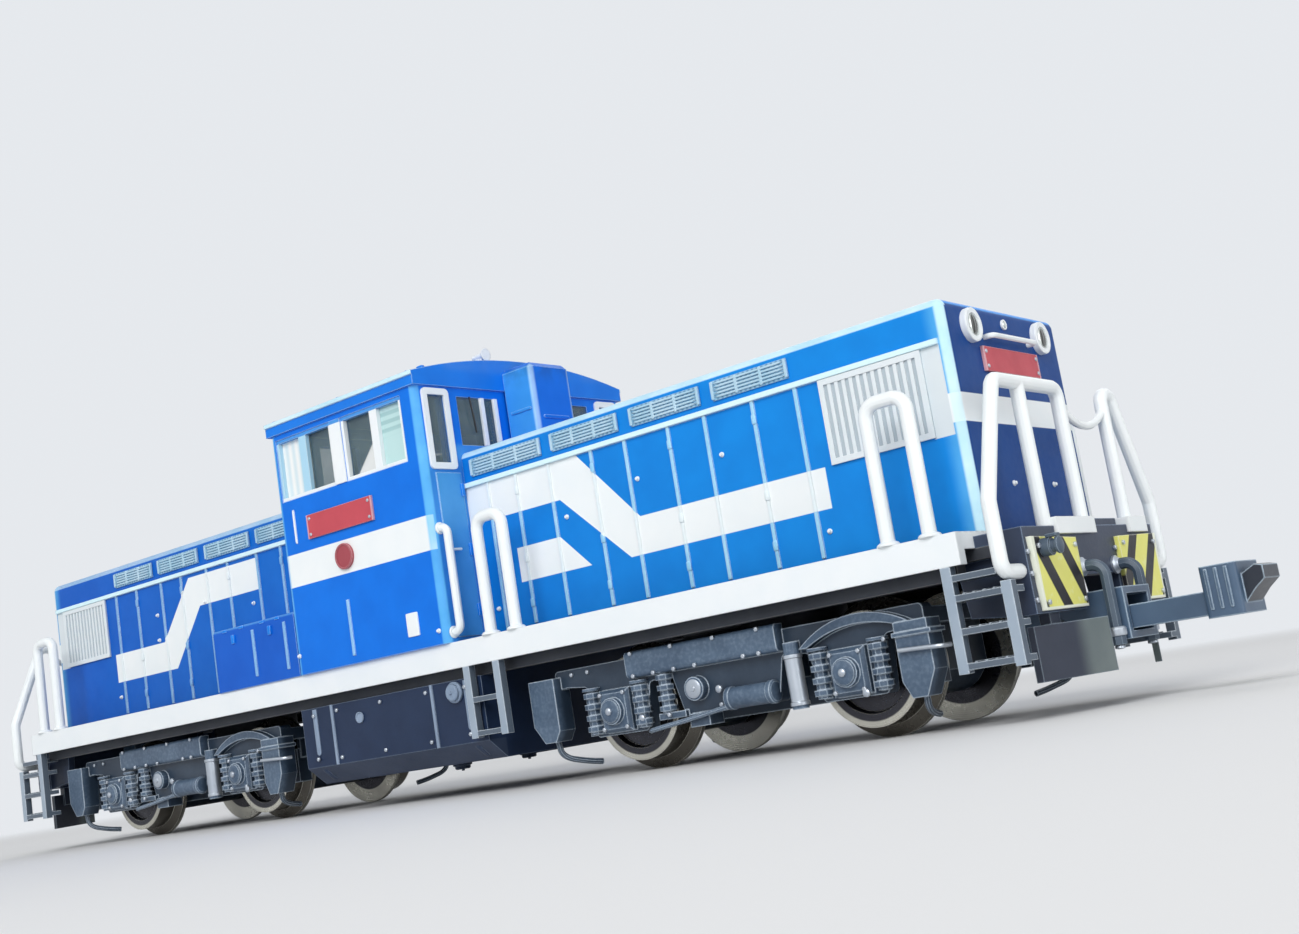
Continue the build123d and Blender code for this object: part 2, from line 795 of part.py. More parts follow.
# Steps: two stringers with treads at the corners, and a ladder below each cab door
step_inner = walkway_half_length - 1.1
step_outer = end_rail_plane - step_stringer / 2
step_bottom = above_rail(1.9)
step_depth = 1.2
tread_thickness = 0.3
tread_heights = (2.05, 3.6, 5.1)
top_tread = above_rail(6.0)
stringer_y = (-step_plane, -step_plane + step_stringer)
corner_steps = block((step_inner, step_inner + step_stringer), stringer_y, (step_bottom, sill_bottom))
corner_steps += block(
    (step_outer, step_outer + step_stringer), stringer_y, (step_bottom, rail_foot - rail_radius)
)
for height in tread_heights:
    corner_steps += block(
        (step_inner, step_outer + step_stringer),
        (-step_plane, -step_plane + step_depth),
        (above_rail(height), above_rail(height) + tread_thickness),
    )
tread_gap = 0.02
corner_steps += block(
    (step_inner + step_stringer - 0.1, end_rail_plane - rail_radius - tread_gap),
    (-step_plane, -beam_half_width),
    (top_tread, top_tread + tread_thickness),
)
step_pair = (corner_steps, mirrored(corner_steps))
save("corner_steps", *step_pair, *[turned(piece) for piece in step_pair])
ladder_posts = (cab_half_length + 0.6, cab_half_length + 3.0)
ladder_bottom = above_rail(2.6)
ladder_rungs = (above_rail(2.7), above_rail(4.6))
ladder_span = (ladder_posts[0], ladder_posts[1] + step_stringer)
ladder = block(ladder_span, stringer_y, (ladder_rungs[0], ladder_rungs[0] + tread_thickness))
ladder += block(ladder_span, stringer_y, (ladder_rungs[1], ladder_rungs[1] + tread_thickness))
for start in ladder_posts:
    ladder += block((start, start + step_stringer), stringer_y, (ladder_bottom, sill_bottom))
save("cab_ladders", ladder, turned(ladder))

# Wheelsets: an axle with two flanged wheels, turned in one
hub_radius = 1.2
rim_radius = 2.2
web_recess = 0.35
flange_land = 0.3
axle_end = frame_inner - 0.1
half_profile = (
    (0, 0),
    (axle_radius, 0),
    (axle_radius, wheel_back),
    (flange_radius, wheel_back),
    (flange_radius, wheel_back + flange_land),
    (tread_radius, wheel_back + flange_width),
    (tread_radius, wheel_front),
    (rim_radius, wheel_front),
    (rim_radius - 0.1, wheel_front - web_recess),
    (hub_radius, wheel_front - web_recess),
    (hub_radius, wheel_front),
    (axle_end_radius, wheel_front),
    (axle_end_radius, axle_end),
    (0, axle_end),
)
half_wheelset = revolve(make_face(Plane.XY * Polyline(*half_profile, close=True)), Axis.Y)
wheelset = half_wheelset + mirrored(half_wheelset)
axle_places = (
    ("wheelset_1", bogie_centre + wheelbase / 2),
    ("wheelset_2", bogie_centre - wheelbase / 2),
    ("wheelset_3", -bogie_centre + wheelbase / 2),
    ("wheelset_4", -bogie_centre - wheelbase / 2),
)
for name, x in axle_places:
    save(name, Pos(x, 0, axle_height) * wheelset)

# Gear case of a bogie, drawn with its middle at x = 0: a box with a round cover over each axle
gear_cover_radius = 1.85
axles = (-wheelbase / 2, wheelbase / 2)
gear_case = block(
    (-gearbox_half_length, gearbox_half_length),
    (-gearbox_half_width, gearbox_half_width),
    (gearbox_bottom, gearbox_top),
)
gear_case = chamfer(gear_case.edges().filter_by(Axis.Y), 0.7)
for x in axles:
    gear_case += crosswise(x, axle_height, gear_cover_radius, (-gearbox_half_width, gearbox_half_width))
gear_case -= upright(0, 0, pivot_radius + running_gap, (pin_bottom - 0.3, gearbox_top + 1))
for x in axles:
    bore_span = (-gearbox_half_width - 1, gearbox_half_width + 1)
    gear_case -= crosswise(x, axle_height, axle_radius + running_gap, bore_span)

# Side frame of a bogie: one moulding with a deep beam, axle boxes between coil springs, brake gear
# and sand boxes
frame_outer = frame_inner + frame_plate
bar_inner = wheelbase / 2 + flange_radius + 0.15
bar_thickness = 0.75
frame_end = bar_inner + bar_thickness
pedestal_half_width = 1.85
half_outline = (
    (0, 2.65),
    (frame_end, 2.65),
    (frame_end, 1.75),
    (wheelbase / 2 + pedestal_half_width + 0.25, 1.5),
    (wheelbase / 2 + pedestal_half_width, -1.3),
    (wheelbase / 2 - pedestal_half_width, -1.3),
    (wheelbase / 2 - pedestal_half_width - 0.5, 1.2),
    (3.6, 1.4),
    (3.0, -0.9),
    (0, -0.9),
)
outline = [(x, above_axle(z)) for x, z in half_outline]
outline += [(-x, above_axle(z)) for x, z in reversed(half_outline[1:-1])]
side_frame = side_profile(outline, (-frame_outer, -frame_inner))
side_frame = fillet(side_frame.edges().filter_by(Axis.Y), 0.25)

# The deep beam over the middle, with rounded long edges
deep_beam = block(
    (-6.1, 3.8), (-frame_outer - 0.7, -frame_outer + 0.1), (above_axle(1.55), above_axle(2.95))
)
side_frame += fillet(deep_beam.edges().filter_by(Axis.X).sort_by(Axis.Y)[:2], 0.25)

# The curved rib over the outer axle
rib_span = (4.9, 11.9)
rib_depth = 0.5
rib_rise = 1.25
rib_foot = above_axle(1.45)
rib_middle = (rib_span[0] + rib_span[1]) / 2
rib_outline = (
    ThreePointArc((rib_span[0], rib_foot), (rib_middle, rib_foot + rib_rise), (rib_span[1], rib_foot))
    + Line((rib_span[1], rib_foot), (rib_span[1] - rib_depth, rib_foot))
    + ThreePointArc(
        (rib_span[1] - rib_depth, rib_foot),
        (rib_middle, rib_foot + rib_rise - rib_depth),
        (rib_span[0] + rib_depth, rib_foot),
    )
    + Line((rib_span[0] + rib_depth, rib_foot), (rib_span[0], rib_foot))
)
side_frame += side_plate(rib_outline, (-frame_outer - 0.45, -frame_outer + 0.1))

# Axle boxes with round covers, each between two coil springs
spring_radius = 0.5
spring_core = 0.36
spring_sides = 8
spring_turns = 4
spring_offset = 1.72
spring_plane = -frame_outer - 0.1
box_half_width = 1.05
box_depth = 0.5


def coil_spring(x, low, high):
    """A coil spring in front of the frame: a core with a ring for each turn."""
    pitch = (high - low) / spring_turns
    spring = prism(x, spring_plane, spring_core, spring_sides, (low, high))
    for number in range(spring_turns):
        ring = low + (number + 0.25) * pitch
        spring += prism(x, spring_plane, spring_radius, spring_sides, (ring, ring + pitch / 2))
    return spring


for axle in axles:
    axle_box = block(
        (axle - box_half_width, axle + box_half_width),
        (-frame_outer - box_depth, -frame_outer + 0.1),
        (above_axle(-1.15), above_axle(1.15)),
    )
    axle_box = chamfer(axle_box.faces().sort_by(Axis.Y)[0].edges(), 0.2)
    side_frame += axle_box + crosswise_boss(axle, axle_height, 0.72, (-frame_outer - 0.8, -frame_outer))
    for offset in (-spring_offset, spring_offset):
        side_frame += coil_spring(axle + offset, above_axle(-1.1), above_axle(1.3))

# Brake gear: an upright cylinder, a lying one, a round boss with its bracket and the middle spring
side_frame += prism(4.4, -frame_outer - 0.3, 0.42, boss_sides, (above_axle(-1.4), above_axle(1.9)))
side_frame += lengthwise(-frame_outer - 0.3, above_axle(-0.35), 0.55, (0.4, 2.8))
side_frame += crosswise_boss(-1.9, above_axle(0.45), 0.62, (-frame_outer - 0.5, -frame_outer + 0.1))
side_frame += block((-2.6, -1.3), (-frame_outer - 0.3, -frame_inner), (above_axle(-1.5), above_axle(-0.8)))
side_frame += block((-4.6, -2.8), (-frame_outer - 0.3, -frame_inner), (above_axle(-0.9), above_axle(-0.55)))
side_frame += coil_spring(-4.0, above_axle(-0.6), above_axle(1.6))

# Sand boxes with sloped hoppers at both ends of the side frame, the outer one with a lid
sand_box_y = (-frame_outer - 0.65, -frame_inner - 0.25)
outer_hopper = ((10.5, 1.9), (12.3, 1.9), (12.3, -0.5), (11.7, -1.7), (10.9, -1.7), (10.5, -0.9))
inner_hopper = ((-11.5, 2.3), (-13.4, 2.3), (-13.4, -0.2), (-12.7, -1.2), (-11.9, -1.2), (-11.5, -0.6))
for hopper in (outer_hopper, inner_hopper):
    side_frame += side_profile([(x, above_axle(z)) for x, z in hopper], sand_box_y)
lid_y = (sand_box_y[0] - 0.12, sand_box_y[1])
side_frame += block((10.4, 12.5), lid_y, (above_axle(1.2), above_axle(1.42)))

# The two side frames are joined by end bars and carry the gear case on transoms
transom_half_length = 2.6
transom = block(
    (-transom_half_length, transom_half_length),
    (-frame_inner - 0.1, -gearbox_half_width),
    (above_axle(0.13), above_axle(2.33)),
)
end_bar = block((bar_inner, frame_end), (-frame_outer, frame_outer), (above_axle(1.63), above_axle(2.43)))
side_frame += transom
outer_frame = side_frame + turned(side_frame) + end_bar + turned(end_bar)

# Brake shoes and their hangers, hung from the end bars beside the wheel treads
shoe_gap = 0.3
shoe_thickness = 0.6
shoes = []
for end in (-1, 1):
    for side in (near_side, far_side):
        y = side * (wheel_back + flange_width + 0.6)
        reach = wheelbase / 2 + tread_radius + shoe_gap
        shoe = block((reach, reach + shoe_thickness), (-0.5, 0.5), (above_axle(-1.2), above_axle(1.0)))
        shoe -= crosswise(wheelbase / 2, axle_height, tread_radius + shoe_gap, (-1, 1))
        hanger = centred(reach + shoe_thickness - 0.05, 0, 0.15, 0.25, (above_axle(0.4), above_axle(1.63)))
        unit = shoe + hanger
        if end < 0:
            unit = turned(unit)
        shoes.append(Pos(0, y, 0) * unit)

for name, place in (("front", Pos(bogie_centre, 0, 0)), ("rear", Pos(-bogie_centre, 0, 0))):
    save(f"{name}_gear_case", place * gear_case)
    save(f"{name}_bogie_frame", place * outer_frame)
    save(f"{name}_brake_shoes", *[place * shoe for shoe in shoes])

# Coupler pocket under each end beam, with the pin that the hook swings on
pocket_top = above_rail(coupler_height + 1.45)
pocket_bottom = above_rail(coupler_height - 1.0)
pocket_back = beam_front - 3.6
pocket_front = beam_front + pocket_reach
pin_x = beam_front - 1.8
pin_height = above_rail(coupler_height)
hook_pin_radius = 0.3
pocket = block(
    (pocket_back, pocket_front), (-pocket_half_width, pocket_half_width), (pocket_bottom, pocket_top)
)
pocket -= block(
    (pin_x - 1.0, pocket_front + 1),
    (-pocket_half_width + pocket_wall, pocket_half_width - pocket_wall),
    (pocket_bottom + pocket_wall, pocket_top - pocket_wall),
)
pocket += crosswise(pin_x, pin_height, hook_pin_radius, (-pocket_half_width, pocket_half_width))
pocket += block((pocket_back, pocket_back + 1.6), (-1.2, 1.2), (pocket_top, chassis_bottom))
save("front_coupler_pocket", pocket)
save("rear_coupler_pocket", turned(pocket))

# Coupler hook: an arm with an eye round the pin, a box-shaped head open at the top and a short nose
arm_half_height = 0.55
arm_side_gap = 0.15
arm_half_width = pocket_half_width - pocket_wall - arm_side_gap
nose_tip = beam_front + coupler_reach
head_front = nose_tip - 1.0
head_back = head_front - 1.7
head_half_width = pocket_half_width
head_wall = 0.4
head_rise = 1.1
nose_half_width = 1.05
hook_top = pin_height + arm_half_height
hook_bottom = pin_height - arm_half_height
head_bottom = hook_bottom - 0.15
head_top = hook_top + head_rise
arm = block((pin_x, head_back + 0.1), (-arm_half_width, arm_half_width), (hook_bottom, hook_top))
arm += crosswise(pin_x, pin_height, arm_half_height, (-arm_half_width, arm_half_width))
head = block((head_back, head_front), (-head_half_width, head_half_width), (head_bottom, head_top))
head = fillet(head.edges().filter_by(Axis.Z), 0.25)
head -= block(
    (head_back + head_wall, head_front - head_wall),
    (-head_half_width + head_wall, head_half_width - head_wall),
    (hook_top, head_top + 1),
)
nose_points = (
    (head_front - 0.1, hook_bottom + 0.2),
    (nose_tip - 0.5, hook_top - 0.25),
    (nose_tip, hook_top + 0.15),
    (nose_tip, hook_top + 0.75),
    (nose_tip - 0.35, hook_top + 0.85),
    (head_front - 0.1, hook_top + 0.45),
)
hook = arm + head + side_profile(nose_points, (-nose_half_width, nose_half_width))
eye_span = (-arm_half_width - 1, arm_half_width + 1)
hook -= crosswise(pin_x, pin_height, hook_pin_radius + running_gap, eye_span)
save("front_coupler_hook", hook)
save("rear_coupler_hook", turned(hook))
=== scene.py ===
import math
import bmesh
import bpy
import numpy as np
from mathutils import Matrix


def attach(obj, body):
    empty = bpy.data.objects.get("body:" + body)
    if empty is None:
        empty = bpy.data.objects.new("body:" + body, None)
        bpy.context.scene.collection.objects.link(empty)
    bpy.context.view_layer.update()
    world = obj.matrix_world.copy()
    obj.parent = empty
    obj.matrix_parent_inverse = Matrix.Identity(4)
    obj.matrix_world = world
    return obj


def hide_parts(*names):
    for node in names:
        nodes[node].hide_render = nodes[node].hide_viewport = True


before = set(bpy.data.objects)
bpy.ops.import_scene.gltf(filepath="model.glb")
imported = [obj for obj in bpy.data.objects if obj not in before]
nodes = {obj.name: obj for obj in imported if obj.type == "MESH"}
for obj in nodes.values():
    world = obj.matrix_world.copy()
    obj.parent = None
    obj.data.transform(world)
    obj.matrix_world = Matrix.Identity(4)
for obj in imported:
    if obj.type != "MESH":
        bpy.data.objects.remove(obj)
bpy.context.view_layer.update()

# Underframe: the flat plate that everything is screwed to, its side girders, the swivel pads and
# the weights. They are zinc castings, blackened in a bath, so the colour is cloudy and the edges
# rub through to grey metal, lightened further as painted highlights.


class Tone:
    """One socket of a material, so that a mask or a mottle can be written as a sum.
    + - * / add Math nodes; node() adds any other kind, with its settings set before its sockets."""

    def __init__(self, tree, socket):
        self.tree = tree
        self.socket = socket

    def node(self, kind, values, output=0, **settings):
        made = self.tree.nodes.new(kind)
        for name, setting in settings.items():
            setattr(made, name, setting)
        for key, value in values.items():
            if isinstance(value, Tone):
                self.tree.links.new(value.socket, made.inputs[key])
            else:
                made.inputs[key].default_value = value
        return Tone(self.tree, made.outputs[output])

    def maths(self, operation, first, second=0.0):
        return self.node("ShaderNodeMath", {0: first, 1: second}, operation=operation)

    def __add__(self, other):
        return self.maths("ADD", self, other)

    def __sub__(self, other):
        return self.maths("SUBTRACT", self, other)

    def __rsub__(self, other):
        return self.maths("SUBTRACT", other, self)

    def __mul__(self, other):
        return self.maths("MULTIPLY", self, other)

    def __truediv__(self, other):
        return self.maths("DIVIDE", self, other)

    __radd__ = __add__
    __rmul__ = __mul__

    def least(self, other):
        return self.maths("MINIMUM", self, other)

    def most(self, other):
        return self.maths("MAXIMUM", self, other)

    def size(self):
        """The value without its sign."""
        return self.maths("ABSOLUTE", self)

    def root(self):
        return self.maths("SQRT", self)

    def fraction(self):
        return self.maths("FRACT", self)

    def wave(self, pitch):
        """A sine that repeats every pitch millimetres, from -1 to 1."""
        return self.maths("SINE", self * (2 * math.pi / pitch))

    def past(self, edge, soft=0.02):
        """0 below the edge and 1 above it, with a soft step between."""
        ends = {"Value": self, "From Min": edge - soft, "From Max": edge + soft}
        return self.node("ShaderNodeMapRange", ends, interpolation_type="SMOOTHSTEP")

    def between(self, low, high, soft=0.02):
        return self.past(low, soft) * (1 - self.past(high, soft))

    def mix(self, first, second):
        """The first colour where this tone is 0, the second where it is 1."""
        return self.node("ShaderNodeMix", {0: self, 6: first, 7: second}, 2, data_type="RGBA")

    def vector(self, operation, values, output=0):
        return self.node(
            "ShaderNodeVectorMath", {0: self, **values}, output, operation=operation
        )


class Finish:
    """A material being made up: its shader, and where a point of the piece lies, in millimetres."""

    def __init__(self, name, **constants):
        self.material = bpy.data.materials.new(name)
        self.material.use_nodes = True
        tree = self.material.node_tree
        self.shader = tree.nodes["Principled BSDF"]
        for socket, value in constants.items():
            self.shader.inputs[socket.replace("_", " ")].default_value = value
        where = Tone(tree, tree.nodes.new("ShaderNodeTexCoord").outputs["Object"])
        self.point = where.vector("SCALE", {"Scale": 1000.0})
        self.x, self.y, self.z = (
            self.point.node("ShaderNodeSeparateXYZ", {0: self.point}, i) for i in range(3)
        )

    @property
    def endwise(self):
        """How far a point lies from the middle of the length, towards either end."""
        return self.x.size()

    @property
    def aside(self):
        """How far it lies from the middle of the width, towards either side."""
        return self.y.size()

    @property
    def along(self):
        """x on the near side and -x on the far one, which is the same after half a turn."""
        return self.x * (1 - 2 * self.y.past(0.0, 0.01))

    def noise(self, scale, detail=2.0):
        """Even clouding between 0 and 1, with about that many clouds to a millimetre."""
        values = {"Vector": self.point, "Scale": scale, "Detail": detail}
        return self.point.node("ShaderNodeTexNoise", values)

    def feed(self, **tones):
        for socket, tone in tones.items():
            self.point.tree.links.new(tone.socket, self.shader.inputs[socket.replace("_", " ")])

    def coat(self, colour, tint, rubbed_and_highlight, roughness, radius=0.09, grain=2.5, wear_and_highlight=0.6, relief=0.0):
        """A finish that clouds slowly towards the colour times the tint, with a grain 0.004 mm
        deep, a relief mask that stands 0.05 mm proud, and rounded edges lightened towards the
        rubbed colour, which is part wear and part painted highlight. An edge is where the rounded
        normal leaves the flat one."""
        cloud = self.noise(0.45, 4.0).past(0.5, 0.25)
        speck = self.noise(grain, 3.0)
        soft = self.point.node("ShaderNodeBevel", {"Radius": radius / 1000}, samples=6)
        flat = self.point.node("ShaderNodeNewGeometry", {}, 1)
        edge = (1 - soft.vector("DOT_PRODUCT", {1: flat}, 1)).past(0.06, 0.05)
        plain = colour if isinstance(colour, Tone) else colour[:3]
        clouded = (cloud * 0.55).mix((1, 1, 1, 1), tint).vector("MULTIPLY", {1: plain})
        # The edges are lightened both as wear and as painted highlight.
        self.feed(Base_Color=(edge * (wear_and_highlight * (0.5 + speck))).mix(clouded, rubbed_and_highlight))
        self.feed(Roughness=roughness + 0.16 * (speck - 0.5) + 0.06 * cloud)
        height = speck * 0.004 + relief * 0.05
        bump = {"Strength": 1.0, "Distance": 0.001, "Height": height, "Normal": soft}
        self.feed(Normal=self.point.node("ShaderNodeBump", bump))

    def on(self, *names):
        """Puts the finish on frame nodes, by name."""
        for name in names:
            slots = nodes[name].data.materials
            slots.clear()
            slots.append(self.material)


dark_cloud = (0.55, 0.6, 0.65, 1)
casting = Finish("blackened_casting", Metallic=0.55)
casting.coat((0.055, 0.06, 0.072, 1), dark_cloud, (0.3, 0.3, 0.3, 1), 0.52, grain=5.0)
casting.on("underframe", "bogie_pivots", "front_weight", "rear_weight")


def unit(vector):
    """The same direction, at length 1."""
    return vector / np.linalg.norm(vector, axis=-1, keepdims=True)


def turned(profile, centres, axis, sides=20):
    """A lathe shape at each centre: the point is the centre, plus the profile's radius times
    (cos a, sin a) across the axis, plus the profile's reach along the axis."""
    profile = np.array(profile, float)
    axis = np.array(axis, float)
    first = unit(np.cross(axis, (0, 0, 1.0)) if abs(axis[2]) < 0.9 else np.array((1.0, 0, 0)))
    angle = np.linspace(0, 2 * math.pi, sides + 1)[:, None]
    ring = np.cos(angle) * first + np.sin(angle) * np.cross(axis, first)
    shape = profile[:, None, :1] * ring + profile[:, None, 1:] * axis
    return np.reshape(centres, (-1, 1, 1, 3)) + shape


def wires(paths, section, flat, rounds=3):
    """An oval rod of eight sides along each path. Corners are eased first: each round puts points
    a quarter and three quarters along every run. The section is the path's point plus (a cos t)
    times flat, made square to the path, plus (b sin t) times the direction square to both; both
    ends close to a point."""
    line = np.array(paths, float)
    for _ in range(rounds):
        start, stop = line[:, :-1], line[:, 1:]
        cut = np.stack([0.75 * start + 0.25 * stop, 0.25 * start + 0.75 * stop], 2)
        line = np.concatenate([line[:, :1], cut.reshape(len(line), -1, 3), line[:, -1:]], 1)
    ahead = unit(np.gradient(line, axis=1))
    flat = np.array(flat, float)
    across = unit(flat - ahead * (ahead @ flat)[..., None])
    angle = np.linspace(0, 2 * math.pi, 9)[:, None]
    wide, thick = section
    rod = line[:, :, None] + wide * np.cos(angle) * across[:, :, None]
    rod = rod + thick * np.sin(angle) * np.cross(ahead, across)[:, :, None]
    caps = np.repeat(line[:, [0, -1], None], len(angle), 2)
    return np.concatenate([caps[:, :1], rod, caps[:, 1:]], 1)


def both_sides(points):
    """The points with their copies on the other side."""
    return np.concatenate([points, points * (1, -1, 1)])


def placed(name, data):
    """An object of that name in the scene, at the origin."""
    made = bpy.data.objects.new(name, data)
    bpy.context.scene.collection.objects.link(made)
    return made


def add_piece(name, slot, finish, *grids, body="locomotive_body"):
    """One mesh from grids of points, (copies, rows, columns, 3) in millimetres, with a quad between
    each four neighbours. Doubled points at seams and poles are merged, the faces turned outwards,
    and edges sharper than 35 degrees left crisp. The piece rides on the body."""
    quads = []
    first = 0
    for grid in grids:
        index = first + np.arange(grid.size // 3).reshape(grid.shape[:3])
        around = [index[:, :-1, :-1], index[:, :-1, 1:], index[:, 1:, 1:], index[:, 1:, :-1]]
        quads.append(np.stack(around, -1).reshape(-1, 4))
        first += grid.size // 3
    points = np.concatenate([grid.reshape(-1, 3) for grid in grids]) / 1000
    mesh = bpy.data.meshes.new(name)
    mesh.from_pydata(points.tolist(), [], np.concatenate(quads).tolist())
    shell = bmesh.new()
    shell.from_mesh(mesh)
    bmesh.ops.remove_doubles(shell, verts=shell.verts, dist=0.000001)
    bmesh.ops.recalc_face_normals(shell, faces=shell.faces)
    shell.to_mesh(mesh)
    shell.free()
    mesh.polygons.foreach_set("use_smooth", [True] * len(mesh.polygons))
    mesh.set_sharp_from_angle(angle=math.radians(35))
    mesh.materials.append(finish.material)
    piece = placed(name, mesh)
    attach(piece, body)
    return piece


sideways = (0, 1, 0)
upwards = (0, 0, 1)
plate_level = 7.45
screw_head = (
    (0, 0), (0.42, 0), (0.42, -0.12), (0.34, -0.2), (0.12, -0.2), (0.1, -0.12), (0, -0.12)
)
screw_places = [(x, y, plate_level) for x in (-12.0, 12.0, -38.0, 38.0) for y in (-5.2, 5.2)]
add_piece(
    "underframe_screws", "weight_metal", casting,
    turned(screw_head, screw_places, upwards),
)
pipe_side = 6.9
pipe_bends = ((-35.5, 7.05), (-33.0, 6.9), (-9.5, 6.9), (-9.0, 6.9))
pipe_runs = [[(x * end, pipe_side, z) for x, z in pipe_bends] for end in (1, -1)]
add_piece(
    "brake_pipes", "underframe_black", casting,
    both_sides(wires(pipe_runs, (0.16, 0.16), sideways)),
)

# Wheelsets: axle and two flanged wheels, turned from brass bar, nickel plated and then blackened.
# The treads, flanges and rims are wiped bright, and the faces stay dark.
bogie_middle = 24.4
axle_reach = 7.5
axle_height = 3.47
rim_radius = 2.56
tread_radius = 2.8
wheel_back, wheel_front = 3.9, 5.44
bright_metal = (0.62, 0.6, 0.52, 1)
tread_metal = (0.15, 0.14, 0.12, 1)
face_black = (0.06, 0.06, 0.07, 1)
wheels = Finish("turned_wheels", Metallic=0.85)
from_axle = (wheels.endwise - bogie_middle).size() - axle_reach
above_axle = wheels.z - axle_height
wheel_radius = (from_axle * from_axle + above_axle * above_axle).root()
rim = wheel_radius.past(rim_radius, 0.04)
tread = wheels.aside.between(wheel_back, wheel_front, 0.08) * wheel_radius.past(tread_radius, 0.03)
turning_marks = wheel_radius.wave(0.11) * 0.5 + 0.5
wheels.coat(
    tread.mix(rim.mix(face_black, bright_metal), tread_metal), (0.6, 0.6, 0.62, 1),
    (0.9, 0.88, 0.8, 1), 0.26, radius=0.08, grain=4.0, wear_and_highlight=1.0, relief=turning_marks * 0.05,
)
wheels.on("wheelset_1", "wheelset_2", "wheelset_3", "wheelset_4")

# Bogies: a gear case, a side frame moulding and brake shoes, all in dark grey plastic, painted
# darker on the inboard parts as painted shade, with painted highlight specks on the outboard
# parts and painted highlights along the raised edges. The bolts, oil caps, sleeve and levers are
# dull metal, pressed in.
bogie_plastic = Finish("bogie_plastic", IOR=1.46)
# Painted shade on the inboard parts, and painted highlight specks on the outboard parts.
standing_out = bogie_plastic.aside.past(7.2, 0.35)
highlight_specks = bogie_plastic.noise(5.0, 4.0).past(0.55, 0.15) * 0.22 * standing_out
bogie_grey_with_inner_shade = standing_out.mix((0.03, 0.05, 0.08, 1), (0.09, 0.14, 0.21, 1))
bogie_plastic.coat(
    highlight_specks.mix(bogie_grey_with_inner_shade, (0.3, 0.38, 0.47, 1)), (0.2, 0.28, 0.38, 1), (0.6, 0.7, 0.8, 1), 0.36,
    radius=0.12, grain=6.0, wear_and_highlight=0.95,
)
bogie_plastic.on("front_gear_case", "front_bogie_frame", "front_brake_shoes")
bogie_plastic.on("rear_gear_case", "rear_bogie_frame", "rear_brake_shoes")
dull_metal = Finish("dull_metal", Metallic=0.7)
dull_metal.coat(
    (0.55, 0.6, 0.66, 1), (0.6, 0.62, 0.66, 1), (0.86, 0.9, 0.94, 1), 0.32, radius=0.04, grain=5.0
)


def half_turn(points):
    """The points with their copies half a turn round the locomotive, or round a bogie."""
    return np.concatenate([points, points * (-1, -1, 1)])


def at_each_corner(points):
    """The points with their copies on the other side, and both half a turn round."""
    return half_turn(both_sides(points))


forwards = (1, 0, 0)
outwards = (0, -1, 0)
frame_face = -6.95
deep_beam_face = -7.65
box_face = -7.45
cover_face = -7.75
hexagon = ((0, 0), (0.13, 0), (0.13, 0.09), (0.1, 0.12), (0, 0.12))
oil_cap = ((0, 0), (0.2, 0), (0.2, 0.1), (0.13, 0.15), (0, 0.16))
boss_cap = ((0, 0), (0.5, 0), (0.5, 0.05), (0.4, 0.1), (0.16, 0.1), (0.14, 0.16), (0, 0.17))
cover = ((0, -0.02), (0.62, -0.02), (0.62, 0.06), (0.55, 0.1), (0.3, 0.13), (0, 0.14))
sleeve = (
    (0.41, 0), (0.5, 0), (0.5, 0.16), (0.45, 0.2), (0.45, 2.3), (0.5, 2.34), (0.5, 2.5),
    (0.41, 2.5), (0.41, 0),
)
drum = ((0, 0), (0.5, 0), (0.6, 0.08), (0.6, 0.34), (0.5, 0.42), (0, 0.42))
spring_cap = ((0, 0), (0.54, 0), (0.56, 0.05), (0.54, 0.16), (0, 0.16))
axles = (-axle_reach, axle_reach)
box_bolts = [(x, z) for x in (-0.82, 0.82) for z in (-0.92, 0.92)]
bolt_places = [(x, deep_beam_face, 5.1) for x in (-5.6, -4.2, -2.8, -1.4, 1.74, 2.72)]
bolt_places += [(x, deep_beam_face, 6.3) for x in (-5.6, -2.8, 0.0, 2.8)]
bolt_places += [(x, frame_face - 0.3, 4.72) for x in (9.7, 11.2)]
bolt_places += [(axle + x, box_face, axle_height + z) for axle in axles for x, z in box_bolts]
bolt_places += [(x, frame_face, z) for x, z in ((-9.4, 5.8), (-10.6, 5.8), (-0.6, 2.9))]
bolt_places += [(-3.7, box_face, 2.8)]
spring_tops = [(-4.0, -7.05, 5.05)] + [(x, -7.05, 4.72) for x in (-9.22, -5.78, 5.78, 9.22)]
oilers = [(-0.35, frame_face - 0.35, 3.7), (8.4, box_face, 2.35)]
oilers += [(-5.67, frame_face - 0.4, 2.85), (-6.32, frame_face, 5.75)]
oilers += [(axle, cover_face - 0.12, axle_height) for axle in axles]
rod_runs = [[(0.2, -7.5, 2.75), (-2.5, -7.5, 2.4), (-5.0, -7.4, 2.15), (-5.6, -6.9, 2.1)]]
lever_runs = [[(10.7, -7.85, 4.05), (12.2, -7.85, 4.0), (13.0, -7.8, 3.95), (13.2, -7.3, 3.95)]]
sand_runs = [
    [(11.3, -7.0, 1.8), (11.25, -6.9, 1.2), (10.95, -6.0, 0.95), (10.8, -5.2, 0.85)],
    [(-12.3, -7.0, 2.3), (-12.2, -6.9, 1.4), (-11.2, -6.0, 1.0), (-10.8, -5.2, 0.85)],
]
bogie_metal = (
    turned(hexagon, bolt_places, outwards, 6),
    turned(oil_cap, oilers, outwards, 12),
    turned(boss_cap, [(-1.9, -7.45, 3.92)], outwards),
    turned(sleeve, [(4.4, -7.25, 2.25)], upwards, 16),
    wires(lever_runs, (0.11, 0.11), upwards),
)
bogie_fittings = (
    turned(cover, [(axle, cover_face, axle_height) for axle in axles], outwards),
    turned(drum, [(0.1, -7.25, 3.12), (2.7, -7.25, 3.12)], forwards),
    turned(spring_cap, spring_tops, upwards, 12),
    wires(rod_runs, (0.13, 0.13), sideways),
    wires(sand_runs, (0.17, 0.17), forwards),
)
